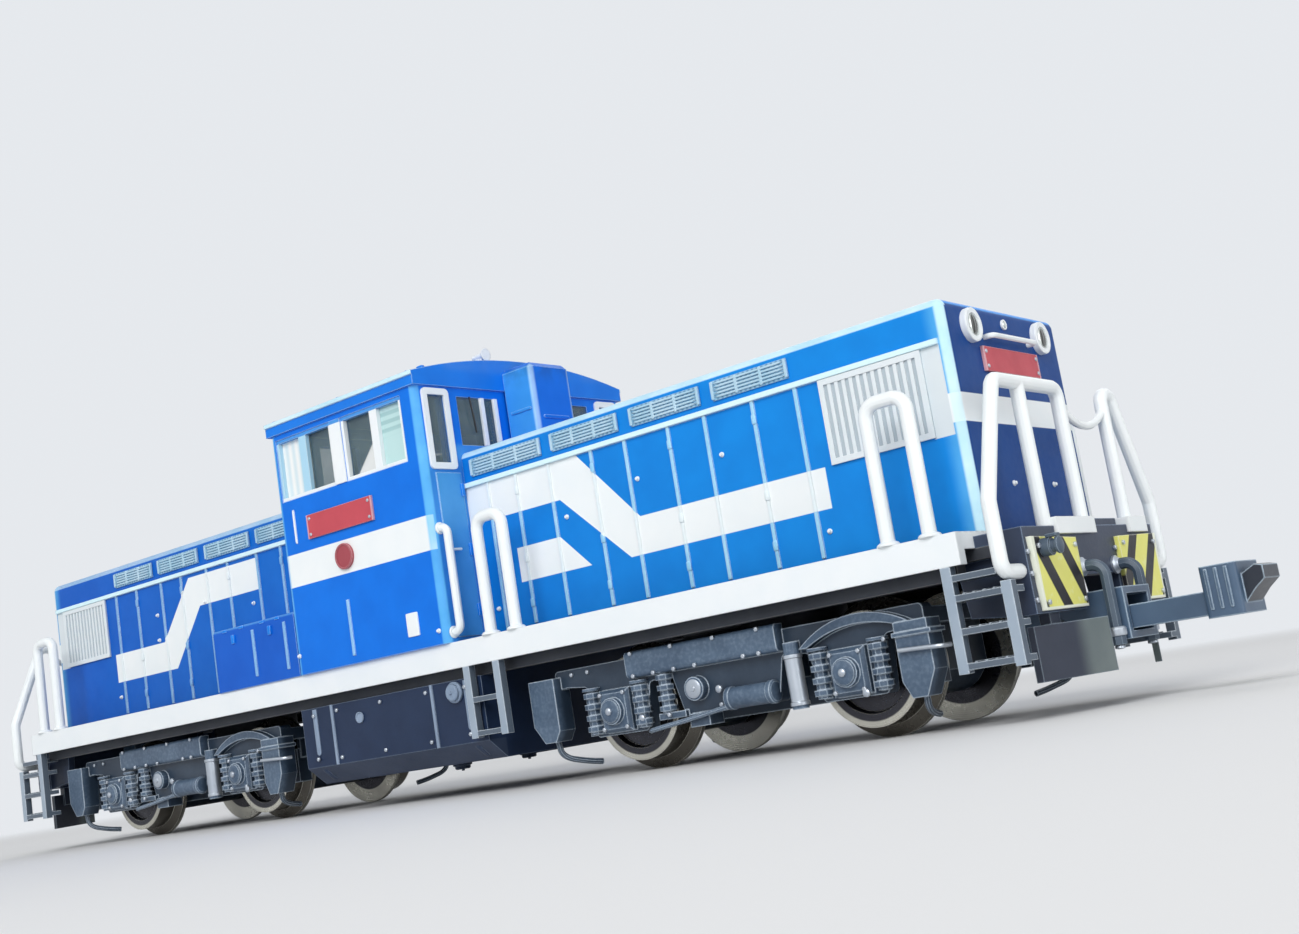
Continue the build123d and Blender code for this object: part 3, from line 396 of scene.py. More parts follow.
for end, centre in (("front", bogie_middle), ("rear", -bogie_middle)):
    middle = np.array((centre, 0, 0))
    add_piece(
        f"{end}_bogie_bolts", "wheel_metal", dull_metal,
        *[half_turn(grid) + middle for grid in bogie_metal], body=f"{end}_bogie",
    )
    add_piece(
        f"{end}_bogie_fittings", "underframe_black", bogie_plastic,
        *[half_turn(grid) + middle for grid in bogie_fittings], body=f"{end}_bogie",
    )

# Tank: one plastic box between the bogies with chamfered lower edges, darker and smoother than the
# bogies, its upright seams wiped pale. Two straps hold it, and filler caps, gauges and drain plugs
# are fixed to it.
tank_side = 8.45
tank_floor = 1.9
tank_chamfer = 3.0
floor_half_width = 7.15
seam_grey = (0.3, 0.38, 0.5, 1)
tank = Finish("tank_plastic", IOR=1.36)
tank_seams = tank.aside.past(tank_side + 0.03, 0.01)
# Painted light: the chamfered lower edges are a lighter blue.
chamfer_light = tank.z.between(tank_floor + 0.05, tank_chamfer + 0.02, 0.05)
chamfer_light = chamfer_light * tank.aside.past(floor_half_width - 0.05, 0.05)
tank_colour = chamfer_light.mix((0.014, 0.03, 0.075, 1), (0.04, 0.06, 0.11, 1))
tank.coat(tank_seams.mix(tank_colour, seam_grey), dark_cloud, seam_grey, 0.42, grain=6.0)
tank.on("fuel_tank")
straps = (-6.9, 6.9)
strap_bends = (
    (-tank_side, 6.6), (-tank_side, tank_chamfer), (-floor_half_width, tank_floor),
    (floor_half_width, tank_floor), (tank_side, tank_chamfer), (tank_side, 6.6),
)
strap_runs = [[(x, y, z) for y, z in strap_bends] for x in straps]
strap_bolts = [(x, -tank_side - 0.08, z) for x in straps for z in (3.5, 6.2)]
panel_bolts = [(x, -tank_side, z) for x in (-4.7, -0.6, 3.5) for z in (3.4, 6.3)]
filler = (
    (0, 0), (0.62, 0), (0.62, 0.16), (0.5, 0.2), (0.5, 0.34), (0.42, 0.4), (0.1, 0.4), (0.1, 0.5),
    (0, 0.5),
)
gauge = ((0, 0), (0.34, 0), (0.34, 0.12), (0.28, 0.12), (0.26, 0.06), (0, 0.06))
add_piece(
    "tank_fittings", "underframe_black", tank,
    wires(strap_runs, (0.24, 0.08), forwards, rounds=1),
    half_turn(turned(filler, [(6.0, -tank_side, 6.0)], outwards)),
    half_turn(turned(gauge, [(-2.6, -tank_side, 5.6)], outwards)),
    turned(filler, [(0, -3.0, tank_floor), (0, 3.0, tank_floor)], (0, 0, -1), 12),
)
add_piece(
    "tank_bolts", "underframe_black", dull_metal,
    both_sides(turned(hexagon, strap_bolts, outwards, 6)),
    half_turn(turned(hexagon, panel_bolts, outwards, 6)),
)

# Walkway: the running board with a deep sill along each side. A plastic moulding: the sill is
# printed white, the top is left dark with a fine tread pattern, and it clips on over the
# underframe.
deck_top = 8.8
sill_face = 9.04
board_end = 39.74
white_cloud = (0.92, 0.95, 0.97, 1)
walkway = Finish("walkway_board", IOR=1.4)
on_top = walkway.z.past(deck_top - 0.03, 0.01)
outer = walkway.aside.past(sill_face, 0.02).most(walkway.endwise.past(board_end, 0.02))
edge_strip = on_top * walkway.aside.past(8.6, 0.02)
lozenges = (walkway.x.wave(0.55) * walkway.y.wave(0.55)).past(0.35, 0.2)
lozenges = lozenges * on_top * (1 - edge_strip)
white_part = outer.most(edge_strip)
top_dark = lozenges.mix((0.04, 0.05, 0.07, 1), (0.08, 0.1, 0.13, 1))
walkway.coat(
    white_part.mix(top_dark, (0.86, 0.89, 0.9, 1)), white_part.mix(dark_cloud, white_cloud),
    (0.93, 0.95, 0.96, 1), 0.42, relief=lozenges,
)
walkway.on("walkway")

# Hoods: one moulding each, with door seams, a ledge and roof hatches. Blue plastic under satin
# paint, with the white stripes printed on the sides and the band across the end. The front hood
# is painted lighter and the rear darker as painted light, the end face deeper as painted shade,
# and the seams, ledge, vertical corners and top edges pale as painted highlights.
blue = (0.001, 0.18, 0.78, 1)
lit_front_blue = (0.004, 0.26, 0.76, 1)
shaded_rear_blue = (0.001, 0.112, 0.545, 1)
shaded_end_blue = (0.001, 0.055, 0.25, 1)
lit_blue = (0.16, 0.56, 0.92, 1)
seam_highlight_blue = (0.54, 0.87, 1.0, 1)
highlight_pale = (0.72, 0.93, 0.98, 1)
stripe_white = (0.88, 0.91, 0.91, 1)
flange_grey = (0.72, 0.77, 0.79, 1)
blue_cloud = (0.5, 0.76, 0.84, 1)
hood_side = 6.25
hood_top = 20.1
hood_face = 39.8
ledge_bottom = 17.82
hood_paint = Finish("hood_paint", IOR=1.3)
along, height = hood_paint.along, hood_paint.z
endwise, aside = hood_paint.endwise, hood_paint.aside


def above_line(x, z, start, end):
    """1 above a line that runs level, slopes between two corners and runs level again: z less the
    line's height, which is the slope's, kept between the two corners' heights."""
    slope = (end[1] - start[1]) / (end[0] - start[0])
    bottom, top = sorted((start[1], end[1]))
    return (z - (start[1] + (x - start[0]) * slope).most(bottom).least(top)).past(0)


front_stripe = above_line(along, height, (14.25, 15.65), (18.8, 11.5)) * along.between(6.0, 31.95)
front_stripe = front_stripe * (1 - above_line(along, height, (15.9, 17.87), (19.85, 13.57)))
bar_bottom, bar_top = 11.6, 13.6
short_bar = along.past(10.4) * height.between(bar_bottom, bar_top)
short_bar = short_bar * (1 - (along + (height - bar_top) * 1.024).past(13.85))
rear_stripe = above_line(along, height, (-24.2, 11.5), (-20.75, 15.45))
rear_stripe = rear_stripe * along.between(-31.85, -13.95)
rear_stripe = rear_stripe * (1 - above_line(along, height, (-25.45, 13.57), (-21.8, 17.6)))
side_print = front_stripe.most(short_bar).most(rear_stripe) * aside.past(hood_side - 0.12, 0.02)
end_band = endwise.past(hood_face - 0.52) * height.between(14.05, 15.45)
proud = aside.past(hood_side + 0.04, 0.015)
# Painted highlights: the proud seams and the ledge are painted pale, the seams more so towards the
# front.
ledge_highlight = proud * height.past(ledge_bottom)
# Painted light: the hood blue grades from a lighter front hood to a darker rear hood.
painted_front_light = hood_paint.x.past(0.0, 40.0)
highlight_share = 0.5 + 0.4 * painted_front_light
seam_highlight = proud * (0.6 + 0.4 * hood_paint.noise(3.0)) * (0.5 + 0.45 * painted_front_light)
seam_highlight = seam_highlight * (1 - 0.8 * side_print)
on_side = aside.past(hood_side - 0.2, 0.03)
# Painted highlights: the hood's vertical corners are a lighter blue with a near-white line, and the
# top edges of the sides are near-white, stronger towards the front.
roof_line = height.between(hood_top - 0.4, hood_top + 0.05, 0.04)
roof_edge_highlight = aside.past(hood_side - 0.45, 0.05) * roof_line
corner_highlight = on_side * endwise.past(hood_face - 0.85, 0.4) * 0.55
corner_highlight_line = endwise.past(hood_face - 0.42, 0.08) * aside.past(hood_side - 0.36, 0.05)
# Painted shade: the hood's end face is painted a deeper blue.
end_shade = endwise.past(hood_face - 0.05, 0.03) * (1 - aside.past(hood_side - 0.3, 0.05))
grille_flange = on_side * endwise.between(38.2, 39.3) * height.between(13.5, 17.87)
printed = side_print.most(end_band)
hood_colour = corner_highlight.mix(painted_front_light.mix(shaded_rear_blue, lit_front_blue), lit_blue)
hood_colour = grille_flange.mix(end_shade.mix(hood_colour, shaded_end_blue), flange_grey)
hood_colour = printed.mix(hood_colour, stripe_white)
hood_colour = (roof_edge_highlight.most(corner_highlight_line) * highlight_share).mix(hood_colour, highlight_pale)
hood_colour = ledge_highlight.mix(seam_highlight.mix(hood_colour, seam_highlight_blue), highlight_pale)
hood_tint = printed.most(ledge_highlight).most(grille_flange).mix(blue_cloud, white_cloud)
hood_worn_and_highlight = printed.mix((0.66, 0.87, 0.98, 1), (0.88, 0.93, 0.95, 1))
hood_paint.coat(hood_colour, hood_tint, hood_worn_and_highlight, 0.4)
hood_paint.on("front_hood", "rear_hood")


def blocks(centres, half, edge=0.3, rows=7, columns=13):
    """Blocks with soft corners: a ball's point (cos u cos v, cos u sin v, sin u), each part raised
    to the power edge with its sign kept, times the half sizes, plus the centre. Rounding first
    keeps poles and seam closed."""
    u = np.linspace(-math.pi / 2, math.pi / 2, rows)[:, None]
    v = np.linspace(0, 2 * math.pi, columns)
    ball = np.stack([np.cos(u) * np.cos(v), np.cos(u) * np.sin(v), np.sin(u) + 0 * v], -1)
    ball = np.round(ball, 12)
    soft = np.sign(ball) * np.abs(ball) ** edge
    return np.reshape(centres, (-1, 1, 1, 3)) + soft * np.reshape(half, (-1, 1, 1, 3))


fitting_blue = Finish("blue_fittings", IOR=1.33)
rubbed_and_highlight_blue = (0.6, 0.85, 0.98, 1)
fitting_blue.coat((0.006, 0.23, 0.8, 1), blue_cloud, rubbed_and_highlight_blue, 0.4, radius=0.05)
hinge_seams = (11.1, 17.05, 22.65, 28.3)
hinges = [(x, -hood_side - 0.05, z) for x in hinge_seams for z in (10.3, 12.9, 16.9)]
hatch_rows = (12.0, 17.0, 19.4, 24.6, 27.8)
eyes = [(x, y, hood_top + 0.12) for x in (9.8, 31.4) for y in (-4.6, 4.6)]
catches = [(x, y, hood_top + 0.2) for x in hatch_rows for y in (-3.0, 3.0)]
hatch_bars = [(x, 0, hood_top + 0.17) for x in (12.0, 18.2, 26.2)]
add_piece(
    "hood_hinges", "body_blue", hood_paint,
    at_each_corner(blocks(hinges, (0.14, 0.09, 0.26))),
)
add_piece(
    "hood_catches", "body_blue", fitting_blue,
    half_turn(blocks(eyes, (0.35, 0.12, 0.18), 0.5)),
    half_turn(blocks(catches, (0.2, 0.3, 0.08))),
    half_turn(blocks(hatch_bars, (0.09, 2.2, 0.06), 0.2)),
)
fitting_white = Finish("white_fittings", IOR=1.42)
rubbed_and_highlight_white = (0.95, 0.96, 0.96, 1)
fitting_white.coat(stripe_white, white_cloud, rubbed_and_highlight_white, 0.34, radius=0.04)
knob = ((0, 0), (0.14, 0), (0.14, 0.05), (0.08, 0.08), (0.1, 0.14), (0.07, 0.18), (0, 0.19))
latch_places = ((20.08, 15.6), (25.91, 15.6), (14.6, 14.6), (31.6, 10.4), (8.3, 10.4))
latches = [(x, -hood_side, z) for x, z in latch_places]
rear_latches = [(-26.0, -hood_side, 13.8)]
end_latches = [(hood_face, y, 11.1) for y in (-2.24, 2.24)]
add_piece(
    "hood_latches", "white_trim", fitting_white,
    at_each_corner(turned(knob, latches, outwards, 12)),
    half_turn(turned(knob, rear_latches, outwards, 12)),
    half_turn(turned(knob, end_latches, forwards, 12)),
)

# Grilles, louvre panels and fans: pale grey plastic inserts. The grilles' gaps are painted
# darker as painted shade, every louvre panel has blades across a frame, and a fan sits under each
# cowl's crossed bars.
grille_paint = Finish("grille_grey", IOR=1.42)
gap_shade = 1 - (grille_paint.aside - hood_side).past(0.085, 0.015)
grille_colour = (gap_shade * 0.8).mix((0.76, 0.81, 0.83, 1), (0.4, 0.47, 0.52, 1))
grille_paint.coat(grille_colour, white_cloud, (0.92, 0.94, 0.95, 1), 0.5, radius=0.04)
grille_paint.on("front_grilles", "rear_grilles")
panel_grey = Finish("louvre_grey", IOR=1.42)
mesh_holes = (panel_grey.x.wave(0.3) * panel_grey.z.wave(0.3)).past(0.1, 0.3)
panel_colour = mesh_holes.mix((0.34, 0.54, 0.7, 1), (0.18, 0.34, 0.5, 1))
panel_grey.coat(panel_colour, blue_cloud, (0.6, 0.76, 0.86, 1), 0.5, radius=0.04)
panel_grey.on("front_louvres", "rear_louvres")
louvre_spans = ((7.7, 13.4), (14.3, 19.3), (20.3, 25.1), (26.0, 30.8))
louvre_rows = (18.62, 18.8, 18.98, 19.16, 19.34)
louvre_face = -hood_side - 0.13
blade_places = [((a + b) / 2, louvre_face, z) for a, b in louvre_spans for z in louvre_rows]
blade_sizes = [((b - a) / 2 - 0.12, 0.07, 0.05) for a, b in louvre_spans for _ in louvre_rows]
post_shares = (0.01, 0.335, 0.665, 0.99)
post_places = [
    ((1 - t) * a + t * b, louvre_face, louvre_rows[2]) for a, b in louvre_spans for t in post_shares
]
blade_paint = Finish("louvre_blades", IOR=1.42)
blade_paint.coat((0.5, 0.68, 0.8, 1), blue_cloud, (0.78, 0.88, 0.94, 1), 0.45, radius=0.03)
add_piece(
    "louvre_blades", "grille_grey", blade_paint,
    at_each_corner(blocks(blade_places, blade_sizes, 0.25, 5, 9)),
    at_each_corner(blocks(post_places, (0.09, 0.08, 0.5), 0.25, 5, 9)),
)
cowl_grey = Finish("cowl_grey", IOR=1.42)
cowl_grey.coat((0.36, 0.48, 0.58, 1), dark_cloud, (0.7, 0.8, 0.86, 1), 0.45, radius=0.04)
cowl_grey.on("front_fan_cowl", "rear_fan_cowl")
fan_middle = (35.375, 0, hood_top)
# A fan blade's point lies at the reach from the hub, at the blade's angle plus its width times
# cos t, and at a lift of 0.05 cos t + 0.014 sin t: a thin tilted oval, closed at both ends.
fan_angles = np.arange(9) * 2 * math.pi / 9
reach = np.array((0.55, 0.55, 1.0, 1.5, 2.0, 2.4, 2.4))[None, :, None]
full_width = np.array((0, 1, 1, 1, 1, 1, 0))[None, :, None]
chord = np.linspace(0, 2 * math.pi, 13)
blade_turn = fan_angles[:, None, None] + full_width * (0.1 + 0.08 * reach) * np.cos(chord)
blade_lift = full_width * (0.05 * np.cos(chord) + 0.014 * np.sin(chord)) + 0 * blade_turn
fan_blades = np.stack([reach * np.cos(blade_turn), reach * np.sin(blade_turn), blade_lift], -1)
fan_blades = fan_blades + fan_middle + (0, 0, 0.085)
fan_hub = ((0, 0), (0.62, 0), (0.62, 0.12), (0.45, 0.18), (0, 0.19))
fan_ring = ((2.5, 0), (2.56, 0.03), (2.5, 0.06), (2.44, 0.03), (2.5, 0))
add_piece(
    "fan_blades", "grille_grey", cowl_grey, half_turn(fan_blades),
    half_turn(turned(fan_ring, [fan_middle], upwards, 32)),
    half_turn(turned(fan_hub, [fan_middle], upwards)),
)

# Exhaust casings: the boxes on the hoods, against the cab, that the exhaust rises through. Blue
# painted plastic, pressed into the hood's roof and sooted round the outlet in the top.
worn_and_highlight_blue = (0.62, 0.85, 0.98, 1)
casing_paint = Finish("exhaust_casing_paint", IOR=1.3)
outlet = casing_paint.endwise.between(7.65, 8.85, 0.05) * casing_paint.y.between(-1.1, 1.1)
outlet = outlet * casing_paint.z.past(24.8, 0.1)
soot = casing_paint.z.past(24.6, 0.8) * casing_paint.noise(1.2).past(0.45, 0.2)
# Painted highlight along the outer vertical corners, and painted light on the side faces, which are
# a lighter blue.
casing_edge_highlight = casing_paint.endwise.past(9.2, 0.08) * casing_paint.aside.past(1.5, 0.1) * 0.5
casing_blue_lit_sides = casing_paint.aside.past(1.72, 0.03).mix(blue, (0.06, 0.36, 0.84, 1))
casing_colour = casing_edge_highlight.mix(casing_blue_lit_sides, highlight_pale)
casing_colour = outlet.most(soot * 0.3).mix(casing_colour, (0.015, 0.015, 0.018, 1))
casing_paint.coat(casing_colour, blue_cloud, worn_and_highlight_blue, 0.42)
casing_paint.on("front_exhaust", "rear_exhaust")
side_strips = [(8.25, y, 22.6) for y in (-1.82, 1.82)]
end_strips = [(9.46, 0, 22.0)]
add_piece(
    "casing_strips", "body_blue", casing_paint,
    half_turn(blocks(side_strips, (0.9, 0.06, 0.1))),
    half_turn(blocks(end_strips, (0.05, 1.2, 0.12))),
)

# Cab: one moulding with cut windows and its doors moulded shut, clipped down over the room. Painted
# the same blue as the hoods, with a white band printed right along each side.
cab_side = 9.35
cab_end = 6.9
cab_paint = Finish("cab_paint", IOR=1.3)
band = cab_paint.z.between(14.3, 16.35) * cab_paint.aside.past(cab_side - 0.25, 0.02)
# Painted highlights on the vertical corners and the proud seams, and painted light on the door
# faces and the lower end wall, which are a lighter blue.
cab_corner_highlight = cab_paint.endwise.past(cab_end - 0.42, 0.08)
cab_corner_highlight = cab_corner_highlight * cab_paint.aside.past(cab_side - 0.4, 0.08)
cab_corner_highlight = cab_corner_highlight * (0.45 + 0.5 * cab_paint.noise(0.7))
door_painted_light = cab_paint.endwise.past(cab_end + 0.03, 0.01) * 0.8
end_wall_painted_light = cab_paint.endwise.past(cab_end - 0.03, 0.01) * (1 - cab_paint.z.past(20.6, 0.2)) * 0.5
cab_seam_highlight = cab_paint.aside.past(cab_side + 0.04, 0.01) * 0.7
cab_colour = band.mix(blue, stripe_white)
cab_colour = door_painted_light.most(end_wall_painted_light).mix(cab_colour, (0.1, 0.39, 0.74, 1))
cab_colour = cab_seam_highlight.mix(cab_corner_highlight.mix(cab_colour, lit_blue), (0.45, 0.75, 0.96, 1))
cab_paint.coat(cab_colour, band.mix(blue_cloud, white_cloud), rubbed_and_highlight_blue, 0.4)
cab_paint.on("cab_walls")
side_plates = [(4.2, -cab_side - 0.02, 10.3)]
window_strips = [(-5.4, -cab_side - 0.02, 18.05)]
side_knobs = [(-6.5, -cab_side, 10.0), (6.3, -cab_side, 9.6)]
door_handles = [[
    (cab_end, -8.25, 14.2), (cab_end + 0.3, -8.25, 14.2), (cab_end + 0.3, -7.55, 14.2)
]]
door_hinges = [(cab_end + 0.1, -6.6, z) for z in (10.6, 14.2, 17.8)]
wipers = [[(cab_end + 0.15, -5.0, 23.6), (cab_end + 0.2, -4.9, 22.4), (cab_end + 0.08, -4.7, 21.4)]]
rubber = Finish("black_rubber", IOR=1.45)
rubber.coat((0.02, 0.022, 0.026, 1), dark_cloud, (0.12, 0.13, 0.14, 1), 0.55, radius=0.03)
add_piece(
    "cab_side_plates", "white_trim", fitting_white,
    half_turn(blocks(side_plates, (0.5, 0.06, 0.7), 0.12)),
    half_turn(blocks(window_strips, (0.08, 0.07, 1.1))),
    half_turn(turned(knob, side_knobs, outwards, 12)),
    half_turn(wires(door_handles, (0.08, 0.08), upwards)),
)
add_piece(
    "cab_wipers", "underframe_black", rubber,
    half_turn(wires(wipers, (0.07, 0.05), forwards)),
)
add_piece(
    "door_hinges", "body_blue", fitting_blue,
    half_turn(blocks(door_hinges, (0.1, 0.12, 0.4))),
)

# Cab roof: a shallow arched moulding with a gutter along each side, painted pale as a highlight,
# and dusty on top. Ribs, vents and lifting eyes are part of it, and two small white horns are
# pushed in.
roof_crown = 26.2
roof_paint = Finish("roof_paint", IOR=1.36)
# Painted highlight: the gutters are painted pale.
gutter_highlight = roof_paint.aside.past(9.52, 0.02) * 0.95
roof_dust = roof_paint.noise(0.35).past(0.5, 0.15) * roof_paint.z.past(25.3, 0.3) * 0.15
roof_colour = gutter_highlight.mix((0.003, 0.2, 0.78, 1), highlight_pale)
roof_paint.coat(roof_dust.mix(roof_colour, (0.25, 0.42, 0.66, 1)), blue_cloud, worn_and_highlight_blue, 0.42)
roof_paint.on("cab_roof")
white_plastic = (0.87, 0.9, 0.91, 1)
trim = Finish("white_trim", IOR=1.42)
trim.coat(white_plastic, white_cloud, rubbed_and_highlight_white, 0.38, radius=0.06)
trim.on("roof_horns")


def on_roof(x, y, lift=0.0):
    """A point on the arched roof: the crown less the fall of the arch, which grows with the
    square of y."""
    return (x, y, roof_crown - 1.2 * (y / 9.5) ** 2 + lift)


vent = ((0, 0), (0.75, 0), (0.75, 0.12), (0.62, 0.2), (0.3, 0.26), (0, 0.27))
roof_vents = [on_roof(x, y) for x in (-3.4, 3.4) for y in (-5.4, 5.4)]
ribs = [[on_roof(x, y, 0.01) for y in np.linspace(-9.3, 9.3, 13)] for x in (-6.4, 0.0, 6.4)]
roof_eyes = [on_roof(x, y, 0.1) for x in (-5.9, 5.9) for y in (-7.6, 7.6)]
add_piece(
    "roof_fittings", "body_blue", fitting_blue,
    turned(vent, roof_vents, upwards), wires(ribs, (0.16, 0.07), forwards, rounds=0),
    blocks(roof_eyes, (0.3, 0.14, 0.16), 0.5),
)

# Tool boxes: two low boxes that stand on the walkway against the cab, corner to corner. Blue
# plastic, a little darker than the hoods, with a lid on hinges and two catches, all moulded shut.
box_side = 9.2
lid_level = 12.75
tool_paint = Finish("tool_box_paint", IOR=1.33)
# Painted light on the lid, which is a lighter blue, and painted highlights on the proud seams.
tool_seam_highlight = tool_paint.aside.past(box_side + 0.04, 0.01) * 0.7
tool_lid_light = tool_paint.z.past(lid_level, 0.05) * 0.35
tool_colour = tool_lid_light.mix((0.001, 0.11, 0.58, 1), lit_blue)
tool_colour = tool_seam_highlight.mix(tool_colour, (0.35, 0.65, 0.92, 1))
tool_paint.coat(tool_colour, blue_cloud, (0.5, 0.78, 0.96, 1), 0.4)
tool_paint.on("tool_boxes")
lid_hinges = [(x, -box_side + 0.1, lid_level) for x in (-14.2, -12.4, -10.2, -8.6)]
lid_catches = [(x, -box_side - 0.04, 12.1) for x in (-13.3, -9.4)]
add_piece(
    "tool_box_fittings", "body_blue", fitting_blue,
    half_turn(blocks(lid_hinges, (0.25, 0.16, 0.1))),
    half_turn(blocks(lid_catches, (0.16, 0.1, 0.3))),
)

# Windows: clear moulded panes behind pale sashes, clipped in from inside. Of the side panes, the
# rear one is painted pale with upright streaks as a painted reflection, one has a painted glint
# across it, and the front one is frosted.
reflection_pane = (-6.6, -3.65)
glint_pane = (0.0, 2.85)
frosted_pane = (2.85, 5.9)
glazing = Finish("window_pane", IOR=1.49, Roughness=0.05, Coat_Weight=0.3)
smear = glazing.noise(0.8, 3.0).past(0.5, 0.2)
pane_along = glazing.along
side_pane = glazing.aside.past(8.6, 0.1)
# Painted reflection: the rear side pane is pale with upright streaks.
pale_reflection = pane_along.between(*reflection_pane, 0.03) * side_pane
frosted = pane_along.between(*frosted_pane, 0.03) * side_pane
# Painted reflection: a pale diagonal glint across the middle side pane.
glint = (pane_along - glazing.z + 20.2).past(0.9, 0.12)
glint = glint * pane_along.between(*glint_pane, 0.03) * side_pane
reflection_streaks = (glazing.x.wave(0.62) * 0.5 + 0.5).mix((0.72, 0.84, 0.88, 1), (0.95, 0.96, 0.93, 1))
slats = glazing.z.wave(0.5).past(0.0, 0.6) * glazing.z.past(21.9, 0.3) * 0.5
slat_colour = slats.mix((0.62, 0.88, 0.87, 1), (0.24, 0.48, 0.5, 1))
pane_colour = frosted.mix((0.16, 0.24, 0.26, 1), slat_colour)
pane_colour = glint.mix(pane_colour, (0.93, 0.95, 0.93, 1))
glazing.feed(Base_Color=pale_reflection.mix(pane_colour, reflection_streaks))
glazing.feed(
    Alpha=(0.34 + 0.1 * smear).most(pale_reflection * 0.94).most(frosted * 0.8).most(glint * 0.75)
)
glazing.on("cab_glass")
sashes = Finish("sash_white", IOR=1.42)
side_sash = sashes.aside.past(9.0, 0.1)
# Painted shade: the side sashes' top bars are painted blue under the eave, and the bars over the
# rear windows a paler blue.
eave_shade_bar = sashes.z.past(23.56, 0.02) * side_sash
shaded_bar = sashes.along.between(-6.6, -1.2, 0.02) * side_sash * sashes.z.past(20.03, 0.02)
sash_colour = shaded_bar.mix(white_plastic, (0.42, 0.68, 0.84, 1))
sash_colour = eave_shade_bar.mix(sash_colour, (0.06, 0.3, 0.74, 1))
sashes.coat(sash_colour, white_cloud, rubbed_and_highlight_white, 0.38, radius=0.05)
sashes.on("cab_window_frames")

# Cab room: floor, driver's desks and seats in one grey green moulding that carries the cab. Seat
# backs, gauges, levers and cupboards are glued on it, blue grey and black.
room = Finish("cab_room", IOR=1.45)
room.coat((0.09, 0.13, 0.125, 1), dark_cloud, (0.3, 0.37, 0.35, 1), 0.55, grain=4.0)
room.on("cab_interior")
seat_blue = Finish("seat_plastic", IOR=1.45)
seat_blue.coat(
    (0.05, 0.08, 0.12, 1), dark_cloud, (0.2, 0.26, 0.3, 1), 0.5, grain=7.0, radius=0.2
)
seat_places = [(2.2, -5.2, 17.95), (1.25, -5.2, 19.0)]
seat_sizes = [(0.95, 1.1, 0.32), (0.36, 1.1, 1.4)]
add_piece(
    "driver_seats", "cab_inside", seat_blue,
    half_turn(blocks(seat_places, seat_sizes, 0.4, 13, 25)),
)
desk_tilt = (-0.64, 0, 0.768)
dial = ((0, 0), (0.36, 0), (0.36, 0.1), (0.3, 0.12), (0.28, 0.08), (0, 0.08))
dial_places = [(4.85, y, 19.1) for y in (-7.2, -6.3, -5.4, -4.5)]
levers = [[(5.0, y, 19.2), (4.8, y, 19.9), (4.55, y, 20.3)] for y in (-3.6, -3.0, -7.9)]
lever_knob = ((0, -0.16), (0.12, -0.11), (0.16, 0), (0.12, 0.11), (0, 0.16))
cupboards = [(5.7, -5.6, 19.9), (5.65, 3.2, 18.0)]
cupboard_sizes = [(0.35, 1.5, 0.3), (0.5, 1.8, 1.8)]
add_piece(
    "desk_controls", "cab_inside", rubber,
    half_turn(turned(dial, dial_places, desk_tilt, 14)),
    half_turn(wires(levers, (0.07, 0.07), sideways)),
    half_turn(turned(lever_knob, [lever[-1] for lever in levers], upwards, 10)),
    half_turn(blocks(cupboards, cupboard_sizes, 0.2)),
)

# Lamps: white rims moulded on the hood ends, each with a bulb reflector and a domed clear lens
# pressed in, one small marker lamp over the middle, and the bar between the lamps. These lenses
# stand for the plain discs of the frame.
lamp_aside = 3.8
lamp_height = 18.85
trim.on("hood_handles", "front_lamp_rims", "rear_lamp_rims")
lens = Finish("lamp_lens", Metallic=0.5, Roughness=0.1, IOR=1.5, Coat_Weight=0.7)
flutes = lens.y.wave(0.26) * 0.5 + 0.5
bulb_half_width, bulb_half_height = 0.34, 0.5
from_middle = (lens.aside - lamp_aside) / bulb_half_width
from_level = (lens.z - lamp_height) / bulb_half_height
bulb_slot = 1 - (from_middle * from_middle + from_level * from_level).past(1.0, 0.15)
bulb_slot = bulb_slot * lens.aside.past(2.0)
lens_colour = flutes.mix((0.55, 0.6, 0.58, 1), (0.86, 0.9, 0.86, 1))
lens.feed(Base_Color=bulb_slot.mix(lens_colour, (0.02, 0.024, 0.016, 1)))
flute_bump = {"Strength": 0.7, "Distance": 0.00004, "Height": flutes}
lens.feed(Normal=lens.point.node("ShaderNodeBump", flute_bump))
dome = ((0, 0), (0.57, 0), (0.575, 0.12), (0.5, 0.19), (0.34, 0.24), (0.17, 0.265), (0, 0.27))
bezel = (
    (0.56, 0.2), (0.62, 0.16), (0.83, 0.16), (0.86, 0.22), (0.85, 0.34), (0.78, 0.38), (0.6, 0.34),
    (0.56, 0.2),
)
marker = ((0, 0), (0.2, 0), (0.2, 0.07), (0.14, 0.13), (0, 0.15))
marker_hood = ((0.19, 0), (0.27, 0), (0.27, 0.1), (0.23, 0.12), (0.19, 0.1), (0.19, 0))
lens_places = [(hood_face + 0.1, y, lamp_height) for y in (-lamp_aside, lamp_aside)]
rim_places = [(hood_face - 0.04, y, lamp_height) for y in (-lamp_aside, lamp_aside)]
marker_place = [(hood_face, 0, 19.25)]
lenses = add_piece(
    "lamp_lenses", "lamp_clear", lens,
    half_turn(turned(dome, lens_places, forwards, 32)),
    half_turn(turned(marker, marker_place, forwards, 16)),
)
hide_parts("front_lamp_lenses", "rear_lamp_lenses")
add_piece(
    "lamp_bezels", "white_trim", trim,
    half_turn(turned(bezel, rim_places, forwards, 32)),
    half_turn(turned(marker_hood, marker_place, forwards, 16)),
)

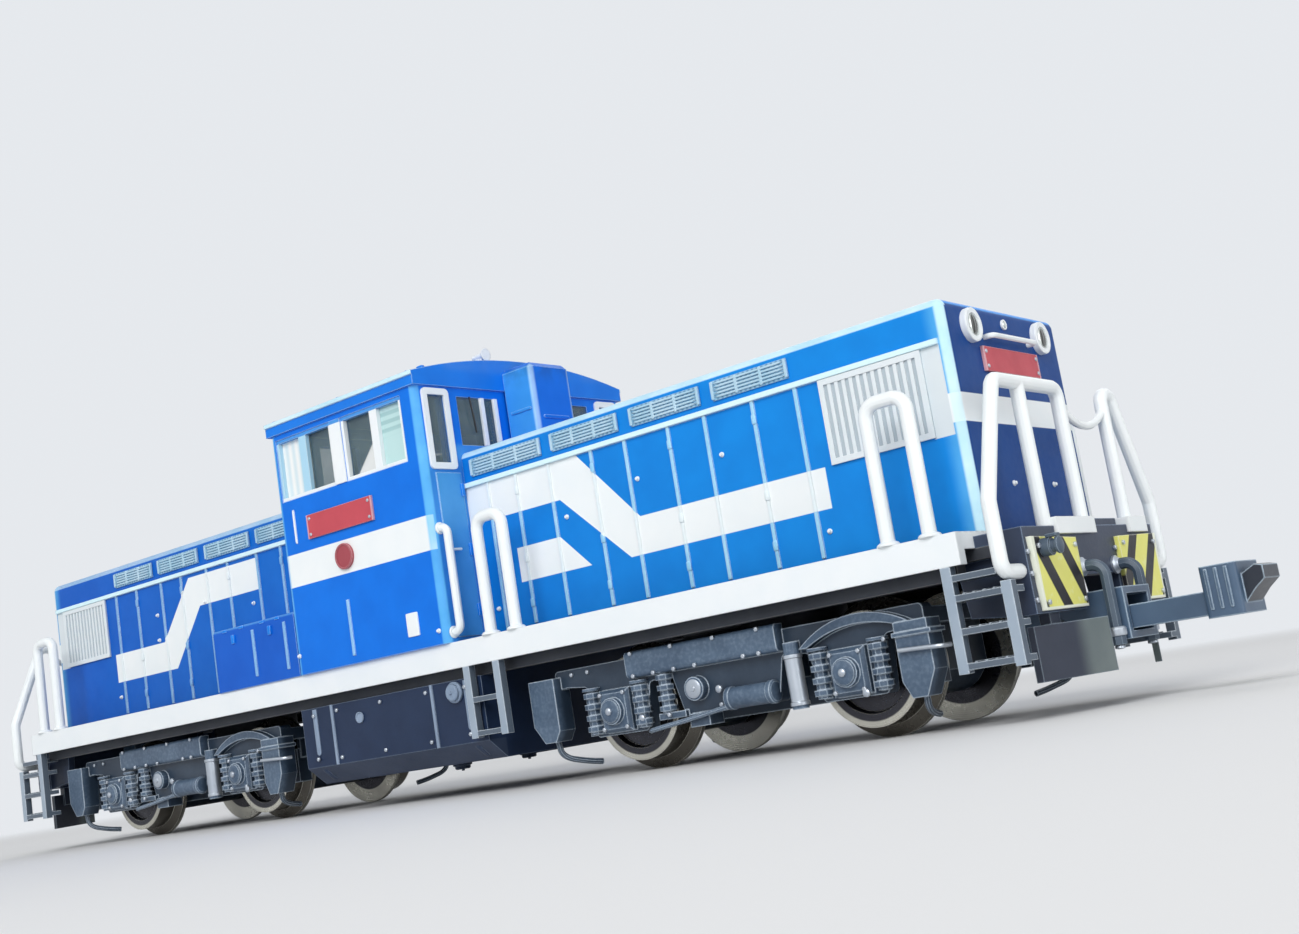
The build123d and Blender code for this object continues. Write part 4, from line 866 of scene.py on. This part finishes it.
# Blank plates and discs: thin pressed plates with nothing on them, painted red with a bare rim.
# A rivet in each corner holds a plate, and a raised ring runs round each disc.
plate_middle = -1.0
plate_red = Finish("plate_red", IOR=1.4)
on_end = plate_red.endwise.past(39.0)
on_cab = 1 - plate_red.endwise.past(20.0)
end_rim = plate_red.aside.past(2.86, 0.02) * on_end
side_rim = (plate_red.along - plate_middle).size().past(2.98, 0.02) * on_cab
plate_colour = (1 - plate_red.z.past(16.4, 0.02)).mix((0.58, 0.075, 0.1, 1), (0.4, 0.07, 0.09, 1))
plate_colour = end_rim.most(side_rim).mix(plate_colour, (0.72, 0.36, 0.4, 1))
plate_red.coat(plate_colour, (0.72, 0.65, 0.66, 1), (0.86, 0.6, 0.6, 1), 0.36, radius=0.06)
plate_red.on("end_plates", "side_plates", "side_discs")
rivet = ((0, 0), (0.11, 0), (0.1, 0.04), (0.06, 0.06), (0, 0.07))
rivet_columns = (plate_middle - 2.8, plate_middle + 2.8)
side_rivets = [(x, -cab_side - 0.15, z) for x in rivet_columns for z in (17.25, 18.25)]
end_rivets = [(hood_face + 0.15, y, z) for y in (-2.75, 2.75) for z in (16.9, 17.65)]
disc_place = [(plate_middle, -cab_side - 0.13, 15.35)]
disc_ring = ((0.68, 0), (0.8, 0), (0.8, 0.06), (0.74, 0.08), (0.68, 0.06), (0.68, 0))
add_piece(
    "plate_rivets", "plate_red", dull_metal,
    half_turn(turned(rivet, side_rivets, outwards, 10)),
    half_turn(turned(rivet, end_rivets, forwards, 10)),
)
add_piece(
    "disc_rings", "plate_red", plate_red,
    half_turn(turned(disc_ring, disc_place, outwards, 32)),
)

# End beams: a dark plastic plate with gussets and a slot for the coupler, clipped to the end of
# the walkway. A yellow and black striped plate is bolted on at both sides of the slot.
beam_plastic = Finish("beam_plastic", IOR=1.46)
beam_plastic.coat((0.03, 0.045, 0.085, 1), dark_cloud, (0.3, 0.4, 0.55, 1), 0.4, grain=6.0)
beam_plastic.on("front_end_beam", "rear_end_beam")
beam_face = 42.2
warning_face = 42.45
warning = Finish("warning_stripes", IOR=1.42)
band_slope = 0.7
band_pitch = 2.5
bands = ((warning.aside - warning.z * band_slope) / band_pitch).fraction()
bands = bands.between(0.32, 0.72, 0.02)
outline = warning.aside.past(6.92, 0.03).most(1 - warning.z.past(4.83, 0.03))
scuff = warning.noise(1.6, 4.0).past(0.62, 0.06) * 0.4
yellow = scuff.mix((0.8, 0.78, 0.2, 1), (0.86, 0.88, 0.5, 1))
striped = bands.mix(yellow, (0.012, 0.012, 0.016, 1))
striped = outline.mix(striped, (0.84, 0.86, 0.72, 1))
warning.coat(striped, white_cloud, (0.93, 0.93, 0.84, 1), 0.42, wear_and_highlight=0.5)
warning.on("front_warning_plates", "rear_warning_plates")
plate_bolts = [(warning_face, y, z) for y in (2.85, 6.7) for z in (5.05, 7.6)]
beam_bolts = [(beam_face, y, z) for y in (2.36, 7.37) for z in (5.2, 6.4, 7.4)]
add_piece(
    "beam_bolts", "underframe_black", dull_metal,
    at_each_corner(turned(hexagon, plate_bolts + beam_bolts, forwards, 6)),
)

# Jumper socket with its hinged cap, brake hoses with their metal couplings, and the ploughs below
# the beam. The hoses are stiff plastic mouldings on the model, pushed into holes in the beam.
fitting_grey = Finish("grey_fittings", IOR=1.46)
fitting_grey.coat(
    (0.07, 0.1, 0.14, 1), dark_cloud, (0.42, 0.52, 0.6, 1), 0.4, radius=0.07, grain=6.0
)
fitting_grey.on("jumper_sockets", "brake_hoses")
socket_cap = ((0, 0), (0.36, 0), (0.4, 0.05), (0.4, 0.14), (0.3, 0.2), (0, 0.22))
collar = ((0.28, 0), (0.42, 0.02), (0.44, 0.1), (0.44, 0.34), (0.38, 0.42), (0.28, 0.44), (0.28, 0))
nozzle = ((0, 0), (0.2, 0), (0.24, -0.06), (0.24, -0.16), (0.1, -0.2), (0, -0.2))
flange = ((0.28, 0), (0.46, 0), (0.46, 0.12), (0.36, 0.18), (0.3, 0.3), (0.28, 0.3), (0.28, 0))
hose_x = 43.3
hose_sides = (-1.97, 1.97)
socket_side = -6.2
add_piece(
    "hose_couplings", "underframe_black", dull_metal,
    half_turn(turned(collar, [(hose_x, y, 3.1) for y in hose_sides], upwards, 16)),
    half_turn(turned(nozzle, [(hose_x, y, 2.7) for y in hose_sides], upwards, 16)),
    half_turn(turned(flange, [(beam_face, y, 6.55) for y in hose_sides], forwards, 16)),
)
add_piece(
    "jumper_caps", "underframe_black", fitting_grey,
    half_turn(turned(socket_cap, [(43.15, socket_side, 7.5)], forwards, 20)),
    half_turn(blocks([(43.0, socket_side, 7.98)], (0.3, 0.24, 0.08))),
)
plough_plastic = Finish("plough_plastic", IOR=1.46)
# Painted light on the inner part of each plough, which is a lighter grey, with the outer part left
# darker as painted shade.
plough_lit_inner = (1 - plough_plastic.aside.past(4.3, 0.5)) * plough_plastic.endwise.past(41.5)
plough_colour = plough_lit_inner.mix((0.028, 0.036, 0.06, 1), (0.15, 0.18, 0.18, 1))
plough_plastic.coat(plough_colour, dark_cloud, (0.34, 0.42, 0.5, 1), 0.42, grain=6.0)
plough_plastic.on("ploughs")

# Couplers: a box-shaped pocket screwed below the floor and a hook that lifts on a pin in it. Both
# are moulded in grey blue plastic, ribbed behind the hook's dark nose.
coupler_plastic = Finish("coupler_plastic", IOR=1.46)
nose = coupler_plastic.endwise.past(49.14, 0.03)
coupler_colour = nose.mix((0.075, 0.125, 0.2, 1), (0.02, 0.026, 0.04, 1))
coupler_plastic.coat(
    coupler_colour, dark_cloud, (0.6, 0.74, 0.86, 1), 0.34, radius=0.12, grain=5.0, wear_and_highlight=0.8
)
coupler_plastic.on("front_coupler_pocket", "front_coupler_hook")
coupler_plastic.on("rear_coupler_pocket", "rear_coupler_hook")
rib_places = [(x, y, 4.5) for x in (47.75, 48.2, 48.65) for y in (-1.6, 1.6)]
hook_ribs = blocks(rib_places, (0.09, 0.07, 0.95))
pin_head = ((0, 0), (0.42, 0), (0.42, 0.08), (0.34, 0.14), (0, 0.15))
for end, turn in (("front", (1, 1, 1)), ("rear", (-1, -1, 1))):
    add_piece(
        f"{end}_hook_ribs", "underframe_black", coupler_plastic, hook_ribs * turn,
        body=f"{end}_hook",
    )
add_piece(
    "pocket_pins", "underframe_black", dull_metal,
    at_each_corner(turned(pin_head, [(40.4, -1.6, 3.9)], outwards, 16)),
    half_turn(turned(screw_head, [(41.9, 0, 2.9)], upwards, 16)),
)

# Handrails: white plastic mouldings, pushed into holes in the walkway and the end beams, with a
# collar round the foot of each post.
rail_line = -8.75
rails = Finish("rail_white", IOR=1.42)
rails.coat(stripe_white, white_cloud, rubbed_and_highlight_white, 0.36, radius=0.12)
rails.on("front_end_rails", "rear_end_rails", "corner_rails", "cab_step_rails", "cab_grab_rails")
foot = ((0.34, 0), (0.55, 0), (0.56, 0.06), (0.5, 0.14), (0.4, 0.2), (0.34, 0.2), (0.34, 0))
grab_foot = ((0.24, 0), (0.36, 0), (0.36, 0.07), (0.28, 0.12), (0.24, 0.12), (0.24, 0))
corner_feet = [(x, rail_line, deck_top) for x in (36.15, 38.35)]
cab_feet = [(x, rail_line, deck_top) for x in (9.85, 11.85)]
grab_feet = [(cab_end, -8.8, z) for z in (9.4, 15.5)]
add_piece(
    "rail_feet", "white_trim", rails,
    at_each_corner(turned(foot, corner_feet, upwards)),
    half_turn(turned(foot, cab_feet, upwards)),
    half_turn(turned(grab_foot, grab_feet, forwards, 16)),
)

# Steps: stringers and treads at the corners, and a ladder below each cab door, clipped under the
# sill. Grey plastic, paler on the faces of the stringers, with raised bars on the treads.
steps_middle, steps_half = 40.35, 1.12
ladder_middle, ladder_half = 8.95, 0.92
stringer_face = 9.05
step_grey = Finish("step_grey", IOR=1.46)
step_x = step_grey.endwise
off_steps = (step_x - steps_middle).size().past(steps_half)
off_ladder = (step_x - ladder_middle).size().past(ladder_half)
stringers = off_steps * off_ladder * step_grey.aside.past(stringer_face)
step_colour = stringers.mix((0.11, 0.14, 0.18, 1), (0.36, 0.43, 0.51, 1))
step_grey.coat(
    step_colour, (0.7, 0.74, 0.78, 1), (0.7, 0.78, 0.84, 1), 0.42, radius=0.08, grain=6.0, wear_and_highlight=0.85
)
step_grey.on("corner_steps", "cab_ladders")
bar_heights = (2.97, 4.52, 6.02)
bar_places = [(x, -8.5, z) for x in (39.6, 40.1, 40.6, 41.1) for z in bar_heights]
add_piece(
    "tread_bars", "underframe_black", step_grey,
    at_each_corner(blocks(bar_places, (0.06, 0.55, 0.05))),
)

# Floor and light: a plain pale floor that the model stands on, fading into an even pale room, and
# three large soft lamps. The floor is clear from below, so that the underside can be looked at.
room_white = (0.93, 0.96, 1.0, 1)
floor_half = 3.0
fade_start, fade_end = 110.0, 270.0
square = ((-1, -1), (1, -1), (1, 1), (-1, 1))
floor_corners = [(x * floor_half, y * floor_half, 0) for x, y in square]
floor_mesh = bpy.data.meshes.new("floor")
floor_mesh.from_pydata(floor_corners, [], [(0, 1, 2, 3)])
floor = placed("floor", floor_mesh)


def as_backdrop(tree):
    """1 for rays that show what is behind the model, straight, in gloss or through glass, and 0
    for the light that falls on it."""
    path = tree.nodes.new("ShaderNodeLightPath").outputs
    straight, gloss, glass = (
        Tone(tree, path[f"Is {kind} Ray"]) for kind in ("Camera", "Glossy", "Transmission")
    )
    return straight.most(gloss).most(glass)


pale = Finish("pale_floor", Roughness=0.9, Base_Color=(0.8, 0.8, 0.8, 1))
make, tree = pale.point.node, pale.point.tree
clear = make("ShaderNodeBsdfTransparent", {})
below = make("ShaderNodeNewGeometry", {}, 6)
far_off = pale.point.vector("LENGTH", {}, 1)
far_off = far_off.past((fade_start + fade_end) / 2, (fade_end - fade_start) / 2)
glow = make("ShaderNodeEmission", {"Color": room_white, "Strength": 0.85})
surface = Tone(tree, pale.shader.outputs[0])
lit = make("ShaderNodeMixShader", {0: far_off * as_backdrop(tree), 1: surface, 2: glow})
shown = make("ShaderNodeMixShader", {0: below, 1: lit, 2: clear})
tree.links.new(shown.socket, tree.nodes["Material Output"].inputs[0])
floor_mesh.materials.append(pale.material)

world = bpy.data.worlds.new("room")
bpy.context.scene.world = world
world.use_nodes = True
room_tree = world.node_tree
background = room_tree.nodes["Background"].inputs
background["Color"].default_value = room_white
strength = as_backdrop(room_tree) * 0.45 + 0.4
room_tree.links.new(strength.socket, background["Strength"])
model_middle = (0, 0, 0.013)


def soft_lamp(name, place, size, power):
    """A square lamp that faces the middle of the locomotive: its back points from there to its
    place, and its sides are square to that and level."""
    lamp = bpy.data.lights.new(name, "AREA")
    lamp.size = size
    lamp.energy = power
    back = unit(np.array(place) - model_middle)
    side = unit(np.cross(upwards, back))
    stand = np.eye(4)
    stand[:3, :4] = np.column_stack([side, np.cross(back, side), back, place])
    placed(name, lamp).matrix_world = Matrix(stand.tolist())


soft_lamp("key_lamp", (0.15, -0.4, 0.28), 0.3, 1.65)
soft_lamp("fill_lamp", (0.5, -0.05, 0.12), 0.3, 0.7)
soft_lamp("back_lamp", (-0.15, 0.55, 0.45), 0.5, 0.9)

# Camera: as low as in the photograph, close to the front corner and rolled a little. Its place,
# direction and lens are those at which the corners of the model fall where they do in the photo.
camera_data = bpy.data.cameras.new("camera")
camera_data.sensor_width = 36.0
camera_data.lens = 43.27
camera_data.clip_start = 0.002
camera = placed("camera", camera_data)
camera_place = (0.072689, -0.071801, 0.002889)
facing = unit(np.array((-0.61155, 0.77574, 0.15570)))
rightward = np.array((0.76003, 0.63066, -0.15689))
rightward = unit(rightward - facing * (rightward @ facing))
camera_stand = np.eye(4)
camera_stand[:3, :4] = np.column_stack(
    [rightward, np.cross(rightward, facing), -facing, camera_place]
)
camera.matrix_world = Matrix(camera_stand.tolist())
bpy.context.scene.camera = camera
bpy.context.scene.view_settings.view_transform = "Standard"
